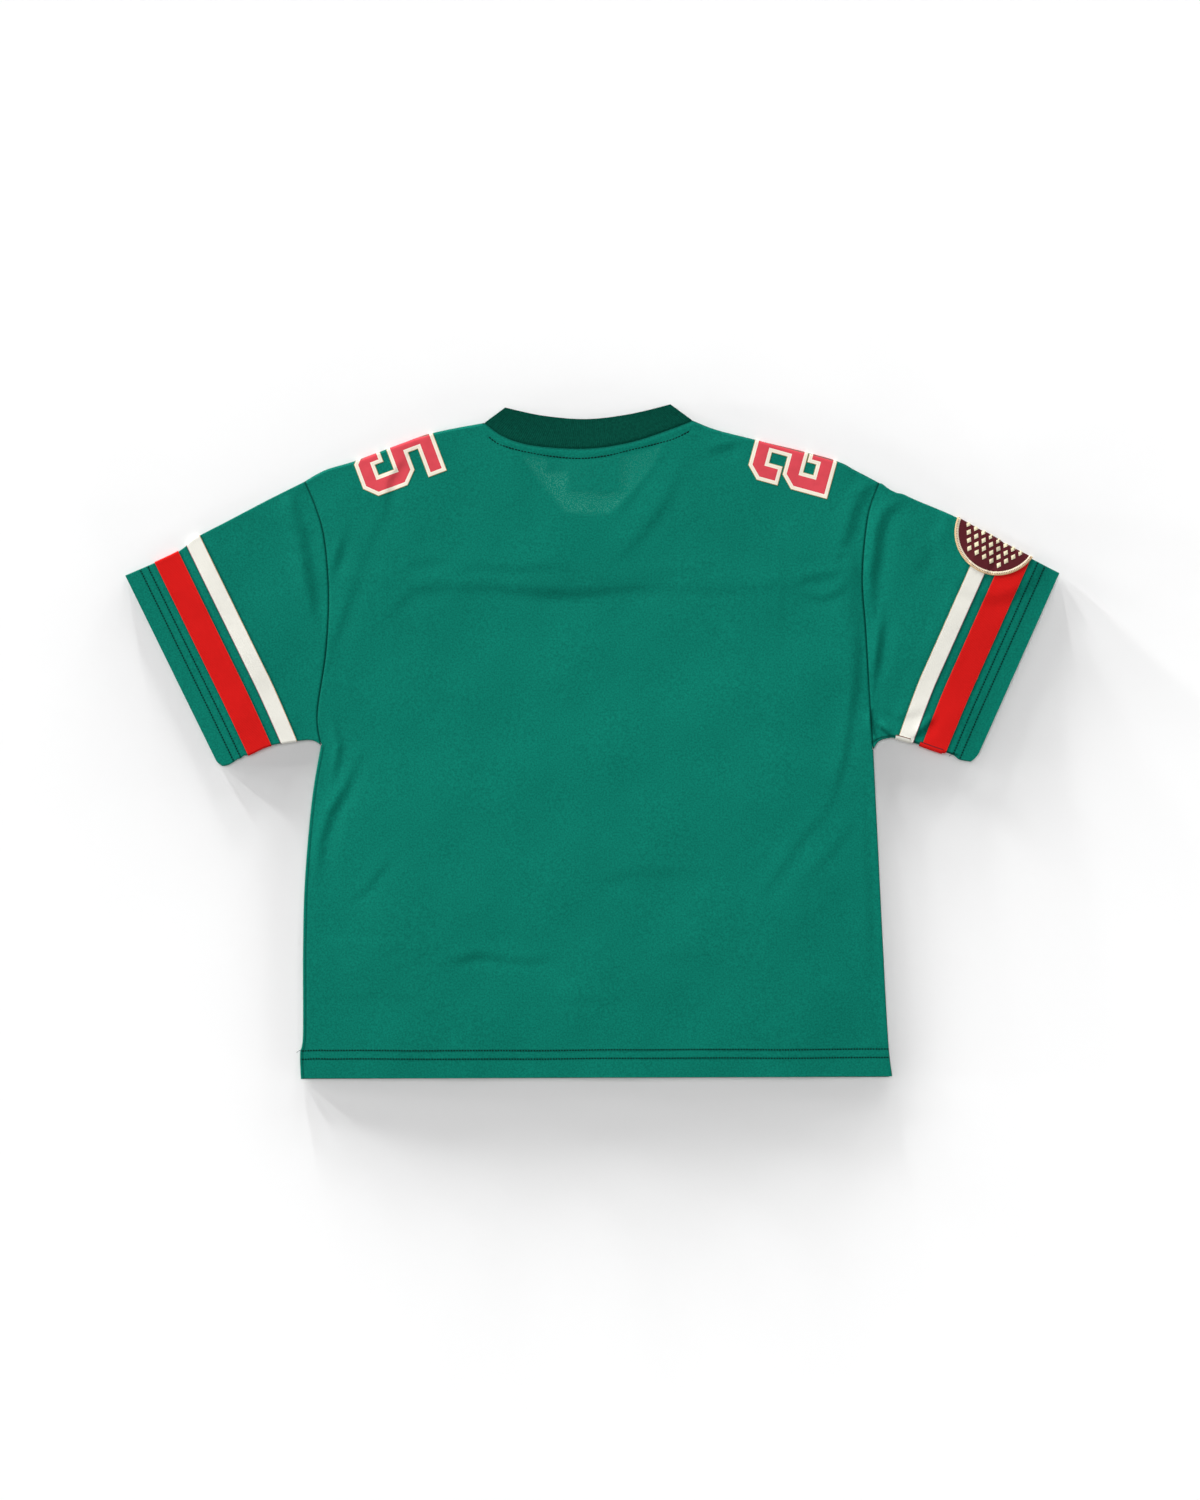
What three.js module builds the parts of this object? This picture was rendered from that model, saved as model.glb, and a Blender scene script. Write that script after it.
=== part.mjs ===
// Football t-shirt in smooth jersey, laid flat with its back upward.
// Millimetres. X runs across the garment, Y from hem to collar, Z up from the surface it lies on.
import * as THREE from 'three';

// ---- driving dimensions ----
const WALL = 1.2;              // jersey and rib
const SEAM = 0.3;              // gap between neighbouring pieces
const TRIM = 1.0;              // tape, patch, numerals and labels
const FOLD = WALL + SEAM / 2;  // outer radius of an edge where the cloth doubles back
const PUFF = 1.6;              // how far the upper layer stands off the lower one
const PUFF_REACH = 42;         // and how far from the edge it gets there
const STACK = TRIM + SEAM;     // one layer of trim with its gap
const SIDE_LIP = 2.4;          // how far a side edge rolls over past its fold
const LIP_TAPER = 0.1;         // share of the side over which that roll dies away under the arm
const YOKE_Y = 126;            // the front yoke seam
const HEM_DROP = 0.4;          // the front hem shows this far below the back one
const CORNER = 0.3;            // half the space between the yokes at the point of the V
const NECK_RISE = 0.36;        // the collar's foot above the neck seam, a seam's gap where it runs aslant

const TAPES = {
  red: { from: 25.1, to: 45.4, colour: 0xd91f1d },
  white: { from: 53, to: 66, colour: 0xf1efe5 },
};
const TAPE_MARGIN = 4;
const TAPE_RAMP = 16;

// along: from the shoulder tip to the patch's centre; past: how far in from the top fold that centre is.
const PATCH = { radius: 33.5, along: 100.2, past: 4.6, margin: 8, ramp: 20 };
// Degrees round the patch from its inner rim, one for each row of it clear of the fold.
const PATCH_TURNS = [10, 30, 50, 70, 110, 130, 150, 170];

const NUMERAL = { height: 66.3, width: 39.1, stroke: 15.4, cut: 9.4, gap: 7.9, notch: 5.1, slit: 0.6 };
const NUMERAL_SEAT = { margin: 8, ramp: 30, lift: 1.5 };   // the shoulder's lift under a numeral
// start: from the shoulder's outer or neck end to the numeral's foot; past: its width that rolls under.
const FIVE = { start: 40.9, past: 7 };
const TWO = { start: 118.5, past: 8.7 };

const COLOURS = { body: 0x0e7866, collar: 0x0d4b3d, numeral: 0xdf515b, patch: 0x60292e, label: 0xe8e6de };

// ---- grid sizes ----
const SHOULDER_COLUMNS = 9;
const NECK_COLUMNS = 8;
const SIDE_ROWS = 12;
const FRONT_ARMHOLE_ROWS = 6;  // from the underarm up to the yoke seam
const YOKE_ROWS = 4;           // from there up to the shoulder
const ARMHOLE_ROWS = FRONT_ARMHOLE_ROWS + YOKE_ROWS;
const ROLL_STEPS = 4;
const SLEEVE_ROWS = 4;
const FRONT_COLUMNS = 10;
const OUTLINE_STEPS = 24;      // straight stretches in each curve of the outline
const HALVINGS = 30;           // of the span in which a place along a curve is looked for
const TINY = 1e-6;

// ---- the outline on the table, stretch by stretch ----
const curve = (rows) => new THREE.SplineCurve(rows.map(({ x, y }) => new THREE.Vector2(x, y)));

const sideLeft = curve([
  { x: -227, y: -262.5 },
  { x: -226.2, y: -232.8 },
  { x: -225.4, y: -162.6 },
  { x: -223.9, y: -108 },
  { x: -218.4, y: -45.6 },
  { x: -211.4, y: -2.7 },
]);
const armholeLeft = curve([
  { x: -211.4, y: -2.7 },
  { x: -214.3, y: 21.6 },
  { x: -207.4, y: 70 },
  { x: -205.3, y: 115.1 },
  { x: -208.7, y: 158 },
  { x: -215.6, y: 182.9 },
  { x: -224, y: 202.7 },
]);
const shoulderLeft = curve([
  { x: -224, y: 202.7 },
  { x: -207.5, y: 211.8 },
  { x: -181.7, y: 219.6 },
  { x: -128.7, y: 239.1 },
  { x: -83.9, y: 248.4 },
]);
const neck = curve([
  { x: -83.9, y: 248.4 },
  { x: -67.9, y: 237.2 },
  { x: -43.9, y: 230.5 },
  { x: -3.7, y: 228.4 },
  { x: 30.7, y: 233.5 },
  { x: 60.5, y: 243.2 },
  { x: 78.4, y: 250.2 },
]);
const shoulderRight = curve([
  { x: 78.4, y: 250.2 },
  { x: 96.7, y: 243 },
  { x: 127.1, y: 235.2 },
  { x: 187.2, y: 219.6 },
  { x: 205, y: 211.4 },
  { x: 223.7, y: 201.6 },
]);
const armholeRight = curve([
  { x: 219.2, y: -6.2 },
  { x: 216.8, y: 27.7 },
  { x: 213.3, y: 87.3 },
  { x: 210.6, y: 130 },
  { x: 215.3, y: 176.8 },
  { x: 223.7, y: 201.6 },
]);
const sideRight = curve([
  { x: 234, y: -260.9 },
  { x: 230.9, y: -232.8 },
  { x: 227, y: -162.6 },
  { x: 223.1, y: -84.6 },
  { x: 219.2, y: -6.2 },
]);
const collarEdge = curve([
  { x: -67.9, y: 260.4 },
  { x: -38, y: 254 },
  { x: -3.7, y: 251.4 },
  { x: 30, y: 255.4 },
  { x: 61.2, y: 262.9 },
]);
const veeEdge = curve([
  { x: -67.9, y: 260.4 },
  { x: -54.6, y: 223.5 },
  { x: -20, y: 181 },
  { x: -1.6, y: 177.6 },
  { x: 16, y: 181 },
  { x: 48.4, y: 218 },
  { x: 61.2, y: 262.9 },
]);
const veePoint = new THREE.Vector2(7.8, YOKE_Y + SEAM);

const LEFT = {
  name: 'left',
  away: -1,
  armhole: armholeLeft,
  top: curve([
    { x: -224, y: 202.7 },
    { x: -252.7, y: 188.4 },
    { x: -282.4, y: 172.8 },
    { x: -308.6, y: 158.9 },
    { x: -324.5, y: 147 },
    { x: -363.9, y: 129.5 },
  ]),
  under: curve([
    { x: -211.4, y: -2.7 },
    { x: -221.5, y: 1 },
    { x: -251.2, y: -3.5 },
    { x: -269.9, y: -11.3 },
    { x: -292.5, y: -19.5 },
  ]),
};
const RIGHT = {
  name: 'right',
  away: 1,
  armhole: armholeRight,
  top: curve([
    { x: 223.7, y: 201.6 },
    { x: 252.7, y: 188.4 },
    { x: 284.7, y: 174.3 },
    { x: 329.2, y: 149.4 },
    { x: 364.3, y: 131.4 },
  ]),
  under: curve([
    { x: 219.2, y: -6.2 },
    { x: 236.8, y: 2 },
    { x: 254.3, y: -1.2 },
    { x: 279.2, y: -10.5 },
    { x: 298, y: -17 },
  ]),
};

// Largest folds of the upper layer: a soft ridge (height over zero) or trough along each line.
const FOLDS = [
  { name: 'left sleeve head', x0: -238, y0: 184, x1: -222, y1: 95, reach: 13, height: 2.6 },
  { name: 'left shoulder', x0: -170, y0: 160, x1: -200, y1: 80, reach: 15, height: 1.4 },
  { name: 'yoke left', x0: -166, y0: 124, x1: -108, y1: 132, reach: 15, height: 1.6 },
  { name: 'yoke middle', x0: -85, y0: 127, x1: 20, y1: 124, reach: 14, height: 2.4 },
  { name: 'yoke right', x0: 20, y0: 123, x1: 192, y1: 124, reach: 14, height: 1.8 },
  { name: 'collar right', x0: 80, y0: 205, x1: 40, y1: 160, reach: 14, height: 1.2 },
  { name: 'right armhole', x0: 205, y0: 172, x1: 200, y1: 60, reach: 12, height: 2 },
  { name: 'right sleeve head', x0: 231, y0: 178, x1: 224, y1: 40, reach: 12, height: 2.6 },
  { name: 'left waist high', x0: -190, y0: -10, x1: -214, y1: -110, reach: 16, height: 2.2 },
  { name: 'left waist low', x0: -168, y0: -100, x1: -190, y1: -128, reach: 15, height: 1.2 },
  { name: 'right waist high', x0: 200, y0: 5, x1: 172, y1: -55, reach: 17, height: 1.6 },
  { name: 'right waist low', x0: 200, y0: -68, x1: 165, y1: -102, reach: 17, height: 1.4 },
  { name: 'middle back', x0: 0, y0: -108, x1: 104, y1: -104, reach: 18, height: 0.9 },
  { name: 'lower back', x0: -105, y0: -172, x1: -38, y1: -170, reach: 18, height: 0.9 },
  { name: 'right corner', x0: 205, y0: -186, x1: 222, y1: -238, reach: 17, height: 1.5 },
];

const NECK_LABELS = [
  { name: 'neck_label', x0: -18.7, x1: 21.8, y0: 194.6, y1: 221.9 },
  { name: 'size_tab', x0: -35.9, x1: -19.3, y0: 210.2, y1: 221.9 },
];

// The care label lies in the left side seam, under this many columns and rows of the back panel.
const CARE_LABEL = { column: 1, columns: 4, row: 3, rows: 2, x: -170, y: -176, half: 36, ramp: 16 };

// ---- small helpers ----
const clamp = (value) => Math.min(1, Math.max(0, value));
const smooth = (value) => clamp(value) ** 2 * (3 - 2 * clamp(value));
const shelf = (value, from, to, ramp) => smooth((value - from) / ramp + 1) * smooth((to - value) / ramp + 1);
const lerp2 = (a, b, t) => a.clone().lerp(b, t);
const chord = (from, to) => to.clone().sub(from).normalize();
const inside = (tangent, side) => new THREE.Vector2(-tangent.y * side, tangent.x * side);
const rolls = Array.from({ length: ROLL_STEPS + 1 }, (_, k) => Math.PI * (k / ROLL_STEPS - 0.5));

/** Fraction of a curve's length where it first passes the height y, between 0 and 1. */
function whereY(line, y) {
  let low = 0;
  let high = 1;
  for (let k = 0; k < HALVINGS; k += 1) {
    const middle = (low + high) / 2;
    if (line.getPointAt(middle).y < y) low = middle;
    else high = middle;
  }
  return low;
}

/** Four-sided patch of the plane between its edge curves. */
function coons(bottom, top, left, right) {
  return (s, r) => {
    const across = lerp2(bottom(s), top(s), r);
    const along = lerp2(left(r), right(r), s);
    const corners = lerp2(lerp2(bottom(0), bottom(1), s), lerp2(top(0), top(1), s), r);
    return across.add(along).sub(corners);
  };
}

// ---- heights of the two layers above the table ----
const outline = [
  { line: sideLeft, reversed: false },
  { line: LEFT.under, reversed: false },
  { line: LEFT.top, reversed: true },
  { line: shoulderLeft, reversed: false },
  { line: collarEdge, reversed: false },
  { line: shoulderRight, reversed: false },
  { line: RIGHT.top, reversed: false },
  { line: RIGHT.under, reversed: true },
  { line: sideRight, reversed: true },
].flatMap(({ line, reversed }) => {
  const points = line.getSpacedPoints(OUTLINE_STEPS);
  return reversed ? points.reverse() : points;
});

function edgeDistance(p) {
  let least = Infinity;
  outline.forEach((a, k) => {
    const b = outline[(k + 1) % outline.length];
    const side = b.clone().sub(a);
    const t = clamp(p.clone().sub(a).dot(side) / Math.max(side.lengthSq(), TINY));
    least = Math.min(least, p.distanceTo(a.clone().addScaledVector(side, t)));
  });
  return least;
}

/** Distance from a sleeve's cuff, and how far along the cuff from its top corner. */
function cuffPlace(sleeve, p) {
  const corner = sleeve.top.getPointAt(1);
  const tip = sleeve.under.getPointAt(1);
  const along = chord(corner, tip);
  const from = p.clone().sub(corner);
  const depth = from.dot(inside(along, -sleeve.away));
  return { depth, along: from.dot(along), width: corner.distanceTo(tip) };
}

/** How far the tapes push the cloth outward: one trim layer over both of them. */
function tapeLift(p) {
  return [LEFT, RIGHT].reduce((sum, sleeve) => {
    const { depth, along, width } = cuffPlace(sleeve, p);
    if (along < -TAPE_RAMP || along > width + TAPE_RAMP) return sum;
    const rise = clamp((depth - TAPES.red.from + TAPE_MARGIN) / TAPE_RAMP + 1);
    const fall = clamp((TAPES.white.to + TAPE_MARGIN - depth) / TAPE_RAMP + 1);
    return sum + STACK * Math.min(rise, fall);
  }, 0);
}

const patchEdge = RIGHT.top.getPointAt(PATCH.along / RIGHT.top.getLength());
const patchInward = inside(RIGHT.top.getTangentAt(PATCH.along / RIGHT.top.getLength()), -1);
const patchCentre = patchEdge.clone().addScaledVector(patchInward, PATCH.past);

function patchLift(p) {
  return STACK * smooth((PATCH.radius + PATCH.margin + PATCH.ramp - p.distanceTo(patchCentre)) / PATCH.ramp);
}

/** Lift of a shoulder where its numeral rolls over the fold and under. */
function numeralLift(p, shoulder, start, end) {
  const from = shoulder.getPointAt(start / shoulder.getLength());
  const to = shoulder.getPointAt(end / shoulder.getLength());
  const along = chord(from, to);
  const place = p.clone().sub(from);
  const depth = place.dot(inside(along, -1));
  const { margin, ramp, lift } = NUMERAL_SEAT;
  const reach = shelf(place.dot(along), -margin, from.distanceTo(to) + margin, ramp);
  return lift * reach * (1 - smooth((depth - FOLD) / PUFF_REACH));
}

function bottomZ(p) {
  const underFive = numeralLift(p, shoulderLeft, FIVE.start, FIVE.start + NUMERAL.height);
  const underTwo = numeralLift(p, shoulderRight, TWO.start - NUMERAL.height, TWO.start);
  return tapeLift(p) + patchLift(p) + underFive + underTwo;
}

function foldHeight(p) {
  return FOLDS.reduce((sum, fold) => {
    const a = new THREE.Vector2(fold.x0, fold.y0);
    const run = new THREE.Vector2(fold.x1, fold.y1).sub(a);
    const t = p.clone().sub(a).dot(run) / run.lengthSq();
    const off = p.distanceTo(a.addScaledVector(run, clamp(t)));
    return sum + fold.height * Math.exp(-((off / fold.reach) ** 2));
  }, 0);
}

function labelLift(p) {
  const { x, y, half, ramp } = CARE_LABEL;
  return STACK * shelf(p.x, x - half, x + half, ramp) * shelf(p.y, y - half / 2, y + half / 2, ramp);
}

function topZ(p) {
  const clear = edgeDistance(p) - FOLD;
  const rise = PUFF * smooth(clear / PUFF_REACH) + labelLift(p);
  return bottomZ(p) + 2 * FOLD + rise + foldHeight(p) * smooth(clear / (PUFF_REACH / 3));
}

// ---- points on the cloth; h is the height out from its outer face ----
const FOLD_ARC = FOLD * Math.PI / 2;   // length of cloth in a quarter of the roll

const onTop = (p, h) => new THREE.Vector3(p.x, p.y, topZ(p) + h);
const onBottom = (p, h) => new THREE.Vector3(p.x, p.y, bottomZ(p) - h);

function onRoll(edge, centre, roll, h) {
  const out = chord(centre, edge).multiplyScalar((FOLD + h) * Math.cos(roll));
  const p = centre.clone().add(out);
  return new THREE.Vector3(p.x, p.y, bottomZ(centre) + FOLD + (FOLD + h) * Math.sin(roll));
}

/** Point at b across a folded edge: b over zero on the upper layer, under zero on the lower one. */
function acrossEdge(edge, inward, b, h) {
  const centre = edge.clone().addScaledVector(inward, FOLD);
  if (Math.abs(b) <= FOLD_ARC) return onRoll(edge, centre, b / FOLD, h);
  const p = centre.clone().addScaledVector(inward, Math.abs(b) - FOLD_ARC);
  return b > 0 ? onTop(p, h) : onBottom(p, h);
}

// ---- one closed wall from a grid of points ----
// keep(i, j) says which cells the piece has: true, false, or the corner that is cut off a cell.
function wall(name, colour, { columns, rows, ring = false, keep = () => true, point }, from, to) {
  const wide = ring ? columns : columns + 1;
  const at = (i, j) => j * wide + (ring ? i % columns : i);
  const faces = [];
  for (let j = 0; j < rows; j += 1) {
    for (let i = 0; i < columns; i += 1) {
      const cell = { a: at(i, j), b: at(i + 1, j), c: at(i + 1, j + 1), d: at(i, j + 1) };
      const kept = keep(i, j);
      const { a, b, c, d } = cell;
      if (kept === true) faces.push([a, b, c], [a, c, d]);
      else if (kept) faces.push(Object.keys(cell).filter((corner) => corner !== kept).map((k) => cell[k]));
    }
  }
  const used = [...new Set(faces.flat())];
  const rank = new Map(used.map((vertex, k) => [vertex, k]));
  const layer = (h) => used.map((v) => point(v % wide, Math.floor(v / wide), h));
  const points = [...layer(to), ...layer(from)];
  const outer = faces.map((face) => face.map((v) => rank.get(v)));
  const edges = new Set(outer.flatMap(([a, b, c]) => [`${a} ${b}`, `${b} ${c}`, `${c} ${a}`]));
  const rim = [...edges].map((key) => key.split(' ').map(Number)).filter(([a, b]) => !edges.has(`${b} ${a}`));
  const deep = used.length;
  const triangles = [
    ...outer,
    ...outer.map(([a, b, c]) => [c + deep, b + deep, a + deep]),
    ...rim.flatMap(([a, b]) => [[b, a, a + deep], [b, a + deep, b + deep]]),
  ];
  const volume = triangles.reduce((sum, [a, b, c]) => (
    sum + points[a].dot(points[b].clone().cross(points[c]))), 0);
  const index = triangles.flatMap(([a, b, c]) => (volume > 0 ? [a, b, c] : [a, c, b]));
  const geometry = new THREE.BufferGeometry().setFromPoints(points);
  geometry.setIndex(index);
  geometry.computeVertexNormals();
  const mesh = new THREE.Mesh(geometry, new THREE.MeshStandardMaterial({ color: colour, roughness: 0.85 }));
  mesh.name = name;
  return mesh;
}

// ---- back panel, with the yoke that rolls over each shoulder to the front seam ----
const sideShare = (j) => j / SIDE_ROWS;

/** Share of an armhole at its row k, counted up from the underarm, with a row on the yoke seam. */
function armholeShare(armhole, k) {
  const seam = whereY(armhole, YOKE_Y);
  if (k <= FRONT_ARMHOLE_ROWS) return seam * k / FRONT_ARMHOLE_ROWS;
  return seam + (1 - seam) * (k - FRONT_ARMHOLE_ROWS) / YOKE_ROWS;
}

const bodyRows = SIDE_ROWS + ARMHOLE_ROWS;
const bodyColumns = 2 * SHOULDER_COLUMNS + NECK_COLUMNS;

/** A body edge, side seam then armhole, with the side set in by the given amount. */
function bodyEdge(side, armhole, inset, rows) {
  return (r) => {
    const j = Math.round(r * rows);
    if (j > SIDE_ROWS) return armhole.getPointAt(armholeShare(armhole, j - SIDE_ROWS));
    const share = sideShare(j);
    const inward = Math.sign(-side.getPointAt(0).x);
    return side.getPointAt(share).add(new THREE.Vector2(inward * inset(share), 0));
  };
}

const leastLip = FOLD + SEAM / 2;
const lipWidth = (share) => leastLip + (SIDE_LIP - leastLip) * clamp((1 - share) / LIP_TAPER);
const besideLip = (share) => lipWidth(share) + SEAM;
const onFoldLine = () => FOLD;

function topEdge(s) {
  const column = s * bodyColumns;
  const neckStart = SHOULDER_COLUMNS;
  const neckEnd = SHOULDER_COLUMNS + NECK_COLUMNS;
  if (column <= neckStart) return shoulderLeft.getPointAt(clamp(column / SHOULDER_COLUMNS));
  if (column < neckEnd) return neck.getPointAt((column - neckStart) / NECK_COLUMNS);
  return shoulderRight.getPointAt(clamp((column - neckEnd) / SHOULDER_COLUMNS));
}

const backLeft = bodyEdge(sideLeft, armholeLeft, besideLip, bodyRows);
const backRight = bodyEdge(sideRight, armholeRight, onFoldLine, bodyRows);
const backFlat = coons((s) => lerp2(backLeft(0), backRight(0), s), topEdge, backLeft, backRight);
const isShoulder = (i) => i <= SHOULDER_COLUMNS || i >= SHOULDER_COLUMNS + NECK_COLUMNS;

/** Centre of the roll under a shoulder column's edge, FOLD in along the column. */
function shoulderCentre(i) {
  const edge = topEdge(i / bodyColumns);
  const below = backFlat(i / bodyColumns, 1 - 1 / bodyRows);
  return edge.clone().addScaledVector(chord(edge, below), FOLD);
}

/** Point of a front yoke, some rows down from the shoulder's roll towards the yoke seam. */
function yokeFlat(i, row) {
  const left = i <= SHOULDER_COLUMNS;
  const armhole = left ? armholeLeft : armholeRight;
  const outerColumn = left ? 0 : bodyColumns;
  const neckColumn = left ? SHOULDER_COLUMNS : SHOULDER_COLUMNS + NECK_COLUMNS;
  const share = (i - outerColumn) / (neckColumn - outerColumn);
  const outer = (k) => armhole.getPointAt(armholeShare(armhole, ARMHOLE_ROWS - k));
  const outerLow = outer(YOKE_ROWS);
  const innerLow = veePoint.clone().add(new THREE.Vector2(left ? -CORNER : CORNER, 0));
  const patch = coons(
    (s) => shoulderCentre(Math.round(outerColumn + s * (neckColumn - outerColumn))),
    (s) => lerp2(outerLow, innerLow, s),
    (r) => (r === 0 ? shoulderCentre(outerColumn) : outer(Math.round(r * YOKE_ROWS))),
    (r) => lerp2(shoulderCentre(neckColumn), innerLow, r),
  );
  return patch(share, row / YOKE_ROWS);
}

function backPoint(i, j, h) {
  const s = Math.min(i, bodyColumns) / bodyColumns;
  if (i > bodyColumns) {
    const edge = sideRight.getPointAt(sideShare(j));
    const centre = edge.clone().sub(new THREE.Vector2(FOLD, 0));
    const step = i - bodyColumns;
    if (step <= ROLL_STEPS) return onRoll(edge, centre, rolls[ROLL_STEPS - step], h);
    return onBottom(edge.clone().sub(new THREE.Vector2(lipWidth(sideShare(j)), 0)), h);
  }
  if (j < bodyRows) return onTop(backFlat(s, j / bodyRows), h);
  if (!isShoulder(i)) return onTop(topEdge(s), h);
  const step = j - bodyRows;
  if (step <= ROLL_STEPS) return onRoll(topEdge(s), shoulderCentre(i), rolls[ROLL_STEPS - step], h);
  return onBottom(yokeFlat(i, step - ROLL_STEPS), h);
}

function backCell(i, j) {
  if (i >= bodyColumns) return j < SIDE_ROWS;
  if (j < bodyRows) return true;
  return i < SHOULDER_COLUMNS || i >= SHOULDER_COLUMNS + NECK_COLUMNS;
}

const backPanel = () => wall('back_panel', COLOURS.body, {
  columns: bodyColumns + ROLL_STEPS + 1,
  rows: bodyRows + ROLL_STEPS + YOKE_ROWS,
  keep: backCell,
  point: backPoint,
}, -WALL, 0);

// ---- front panel, below the yoke seam, rolled up over the left side ----
const frontRows = SIDE_ROWS + FRONT_ARMHOLE_ROWS;
const frontLeft = bodyEdge(sideLeft, armholeLeft, onFoldLine, frontRows);
const frontRight = bodyEdge(sideRight, armholeRight, besideLip, frontRows);
const frontFlat = coons(
  (s) => lerp2(frontLeft(0), frontRight(0), s),
  (s) => lerp2(frontLeft(1), frontRight(1), s),
  frontLeft,
  frontRight,
);

function frontPoint(i, j, h) {
  const drops = { 0: HEM_DROP, [frontRows]: SEAM };
  const drop = new THREE.Vector2(0, -(drops[j] ?? 0));
  const column = i - ROLL_STEPS - 1;
  if (column >= 0) return onBottom(frontFlat(column / FRONT_COLUMNS, j / frontRows).add(drop), h);
  const edge = sideLeft.getPointAt(sideShare(j)).add(drop);
  if (i === 0) return onTop(edge.add(new THREE.Vector2(lipWidth(sideShare(j)), 0)), h);
  return onRoll(edge, edge.clone().add(new THREE.Vector2(FOLD, 0)), rolls[ROLL_STEPS + 1 - i], h);
}

const frontPanel = () => wall('front_panel', COLOURS.body, {
  columns: FRONT_COLUMNS + ROLL_STEPS + 1,
  rows: frontRows,
  keep: (i, j) => i > ROLL_STEPS || j < SIDE_ROWS,
  point: frontPoint,
}, -WALL, 0);

// ---- a ring of cloth pressed flat: upper layer, roll, lower layer, roll ----
function flatRing(row, steps, h) {
  const { upper, lower, edgeFirst, edgeLast } = row;
  const first = edgeFirst.clone().addScaledVector(chord(edgeFirst, upper(1)), FOLD);
  const last = edgeLast.clone().addScaledVector(chord(edgeLast, upper(steps - 1)), FOLD);
  const between = Array.from({ length: steps - 1 }, (_, k) => k + 1);
  return [
    ...rolls.map((roll) => onRoll(edgeFirst, first, roll, h)),
    ...between.map((k) => onTop(upper(k), h)),
    ...rolls.map((roll) => onRoll(edgeLast, last, -roll, h)),
    ...between.map((k) => onBottom(lower(steps - k), h)),
  ];
}

function ringPiece(name, colour, ringRows, steps, from, to) {
  const layers = new Map([from, to].map((h) => [h, ringRows.map((row) => flatRing(row, steps, h))]));
  return wall(name, colour, {
    columns: layers.get(to)[0].length,
    rows: ringRows.length - 1,
    ring: true,
    point: (i, j, h) => layers.get(h)[j][i],
  }, from, to);
}

// ---- sleeves and the tapes round them ----
function sleeveFlat(sleeve) {
  const off = new THREE.Vector2(sleeve.away * SEAM, 0);
  const seam = (v) => sleeve.armhole.getPointAt(v).add(off);
  const cuff = (v) => lerp2(sleeve.under.getPointAt(1), sleeve.top.getPointAt(1), v);
  const eased = (line) => (u) => line.getPointAt(u).add(off.clone().multiplyScalar(1 - u));
  return coons(eased(sleeve.under), eased(sleeve.top), seam, cuff);
}

/** The row of a sleeve at a distance from its cuff, or at a share of its way in to the armhole. */
function sleeveRow(sleeve, depth) {
  const flat = sleeveFlat(sleeve);
  const columns = Array.from({ length: ARMHOLE_ROWS + 1 }, (_, k) => {
    const across = armholeShare(sleeve.armhole, k);
    let near = 1;
    let far = 0;
    for (let n = 0; n < HALVINGS; n += 1) {
      const middle = (near + far) / 2;
      if (cuffPlace(sleeve, flat(middle, across)).depth < depth) near = middle;
      else far = middle;
    }
    return { across, u: depth === 0 ? 1 : near };
  });
  return { flat, columns };
}

function sleeveRing({ flat, columns }, scale = 1) {
  const place = (k) => flat(columns[k].u * scale, columns[k].across);
  return { upper: place, lower: place, edgeFirst: place(0), edgeLast: place(ARMHOLE_ROWS) };
}

const tapeDepths = [TAPES.red.from, TAPES.red.to, TAPES.white.from, TAPES.white.to];
const cuffDepths = [0, 12, tapeDepths[0] - TAPE_MARGIN, ...tapeDepths, TAPES.white.to + TAPE_MARGIN];

function sleeve(side) {
  const inner = sleeveRow(side, TAPES.white.to + TAPE_MARGIN + TAPE_RAMP);
  const nearBody = Array.from({ length: SLEEVE_ROWS + 1 }, (_, k) => sleeveRing(inner, 1 - k / SLEEVE_ROWS));
  const nearCuff = cuffDepths.map((depth) => sleeveRing(sleeveRow(side, depth)));
  return ringPiece(`sleeve_${side.name}`, COLOURS.body, [...nearCuff, ...nearBody], ARMHOLE_ROWS, -WALL, 0);
}

function tape(side, colourName) {
  const { from, to, colour } = TAPES[colourName];
  const ringRows = [from, to].map((depth) => sleeveRing(sleeveRow(side, depth)));
  return ringPiece(`tape_${colourName}_${side.name}`, colour, ringRows, ARMHOLE_ROWS, SEAM, STACK);
}

// ---- rib collar: back half above, V below, folded at both neck points ----
function collar() {
  const up = new THREE.Vector2(0, NECK_RISE);
  const neckPoint = (k) => neck.getPointAt(k / NECK_COLUMNS).add(up);
  const veeTop = new THREE.Vector2(0, 2 * SEAM).add(veePoint);
  const half = NECK_COLUMNS / 2;
  const veeSeam = (k) => (k <= half
    ? lerp2(neckPoint(0), veeTop, k / half)
    : lerp2(veeTop, neckPoint(NECK_COLUMNS), (k - half) / half));
  const ringRows = [0, 0.5, 1].map((w) => {
    const upper = (k) => lerp2(neckPoint(k), collarEdge.getPointAt(k / NECK_COLUMNS), w);
    const lower = (k) => lerp2(veeSeam(k), veeEdge.getPointAt(k / NECK_COLUMNS), w);
    return { upper, lower, edgeFirst: upper(0), edgeLast: upper(NECK_COLUMNS) };
  });
  return ringPiece('collar', COLOURS.collar, ringRows, NECK_COLUMNS, -WALL, 0);
}

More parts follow.
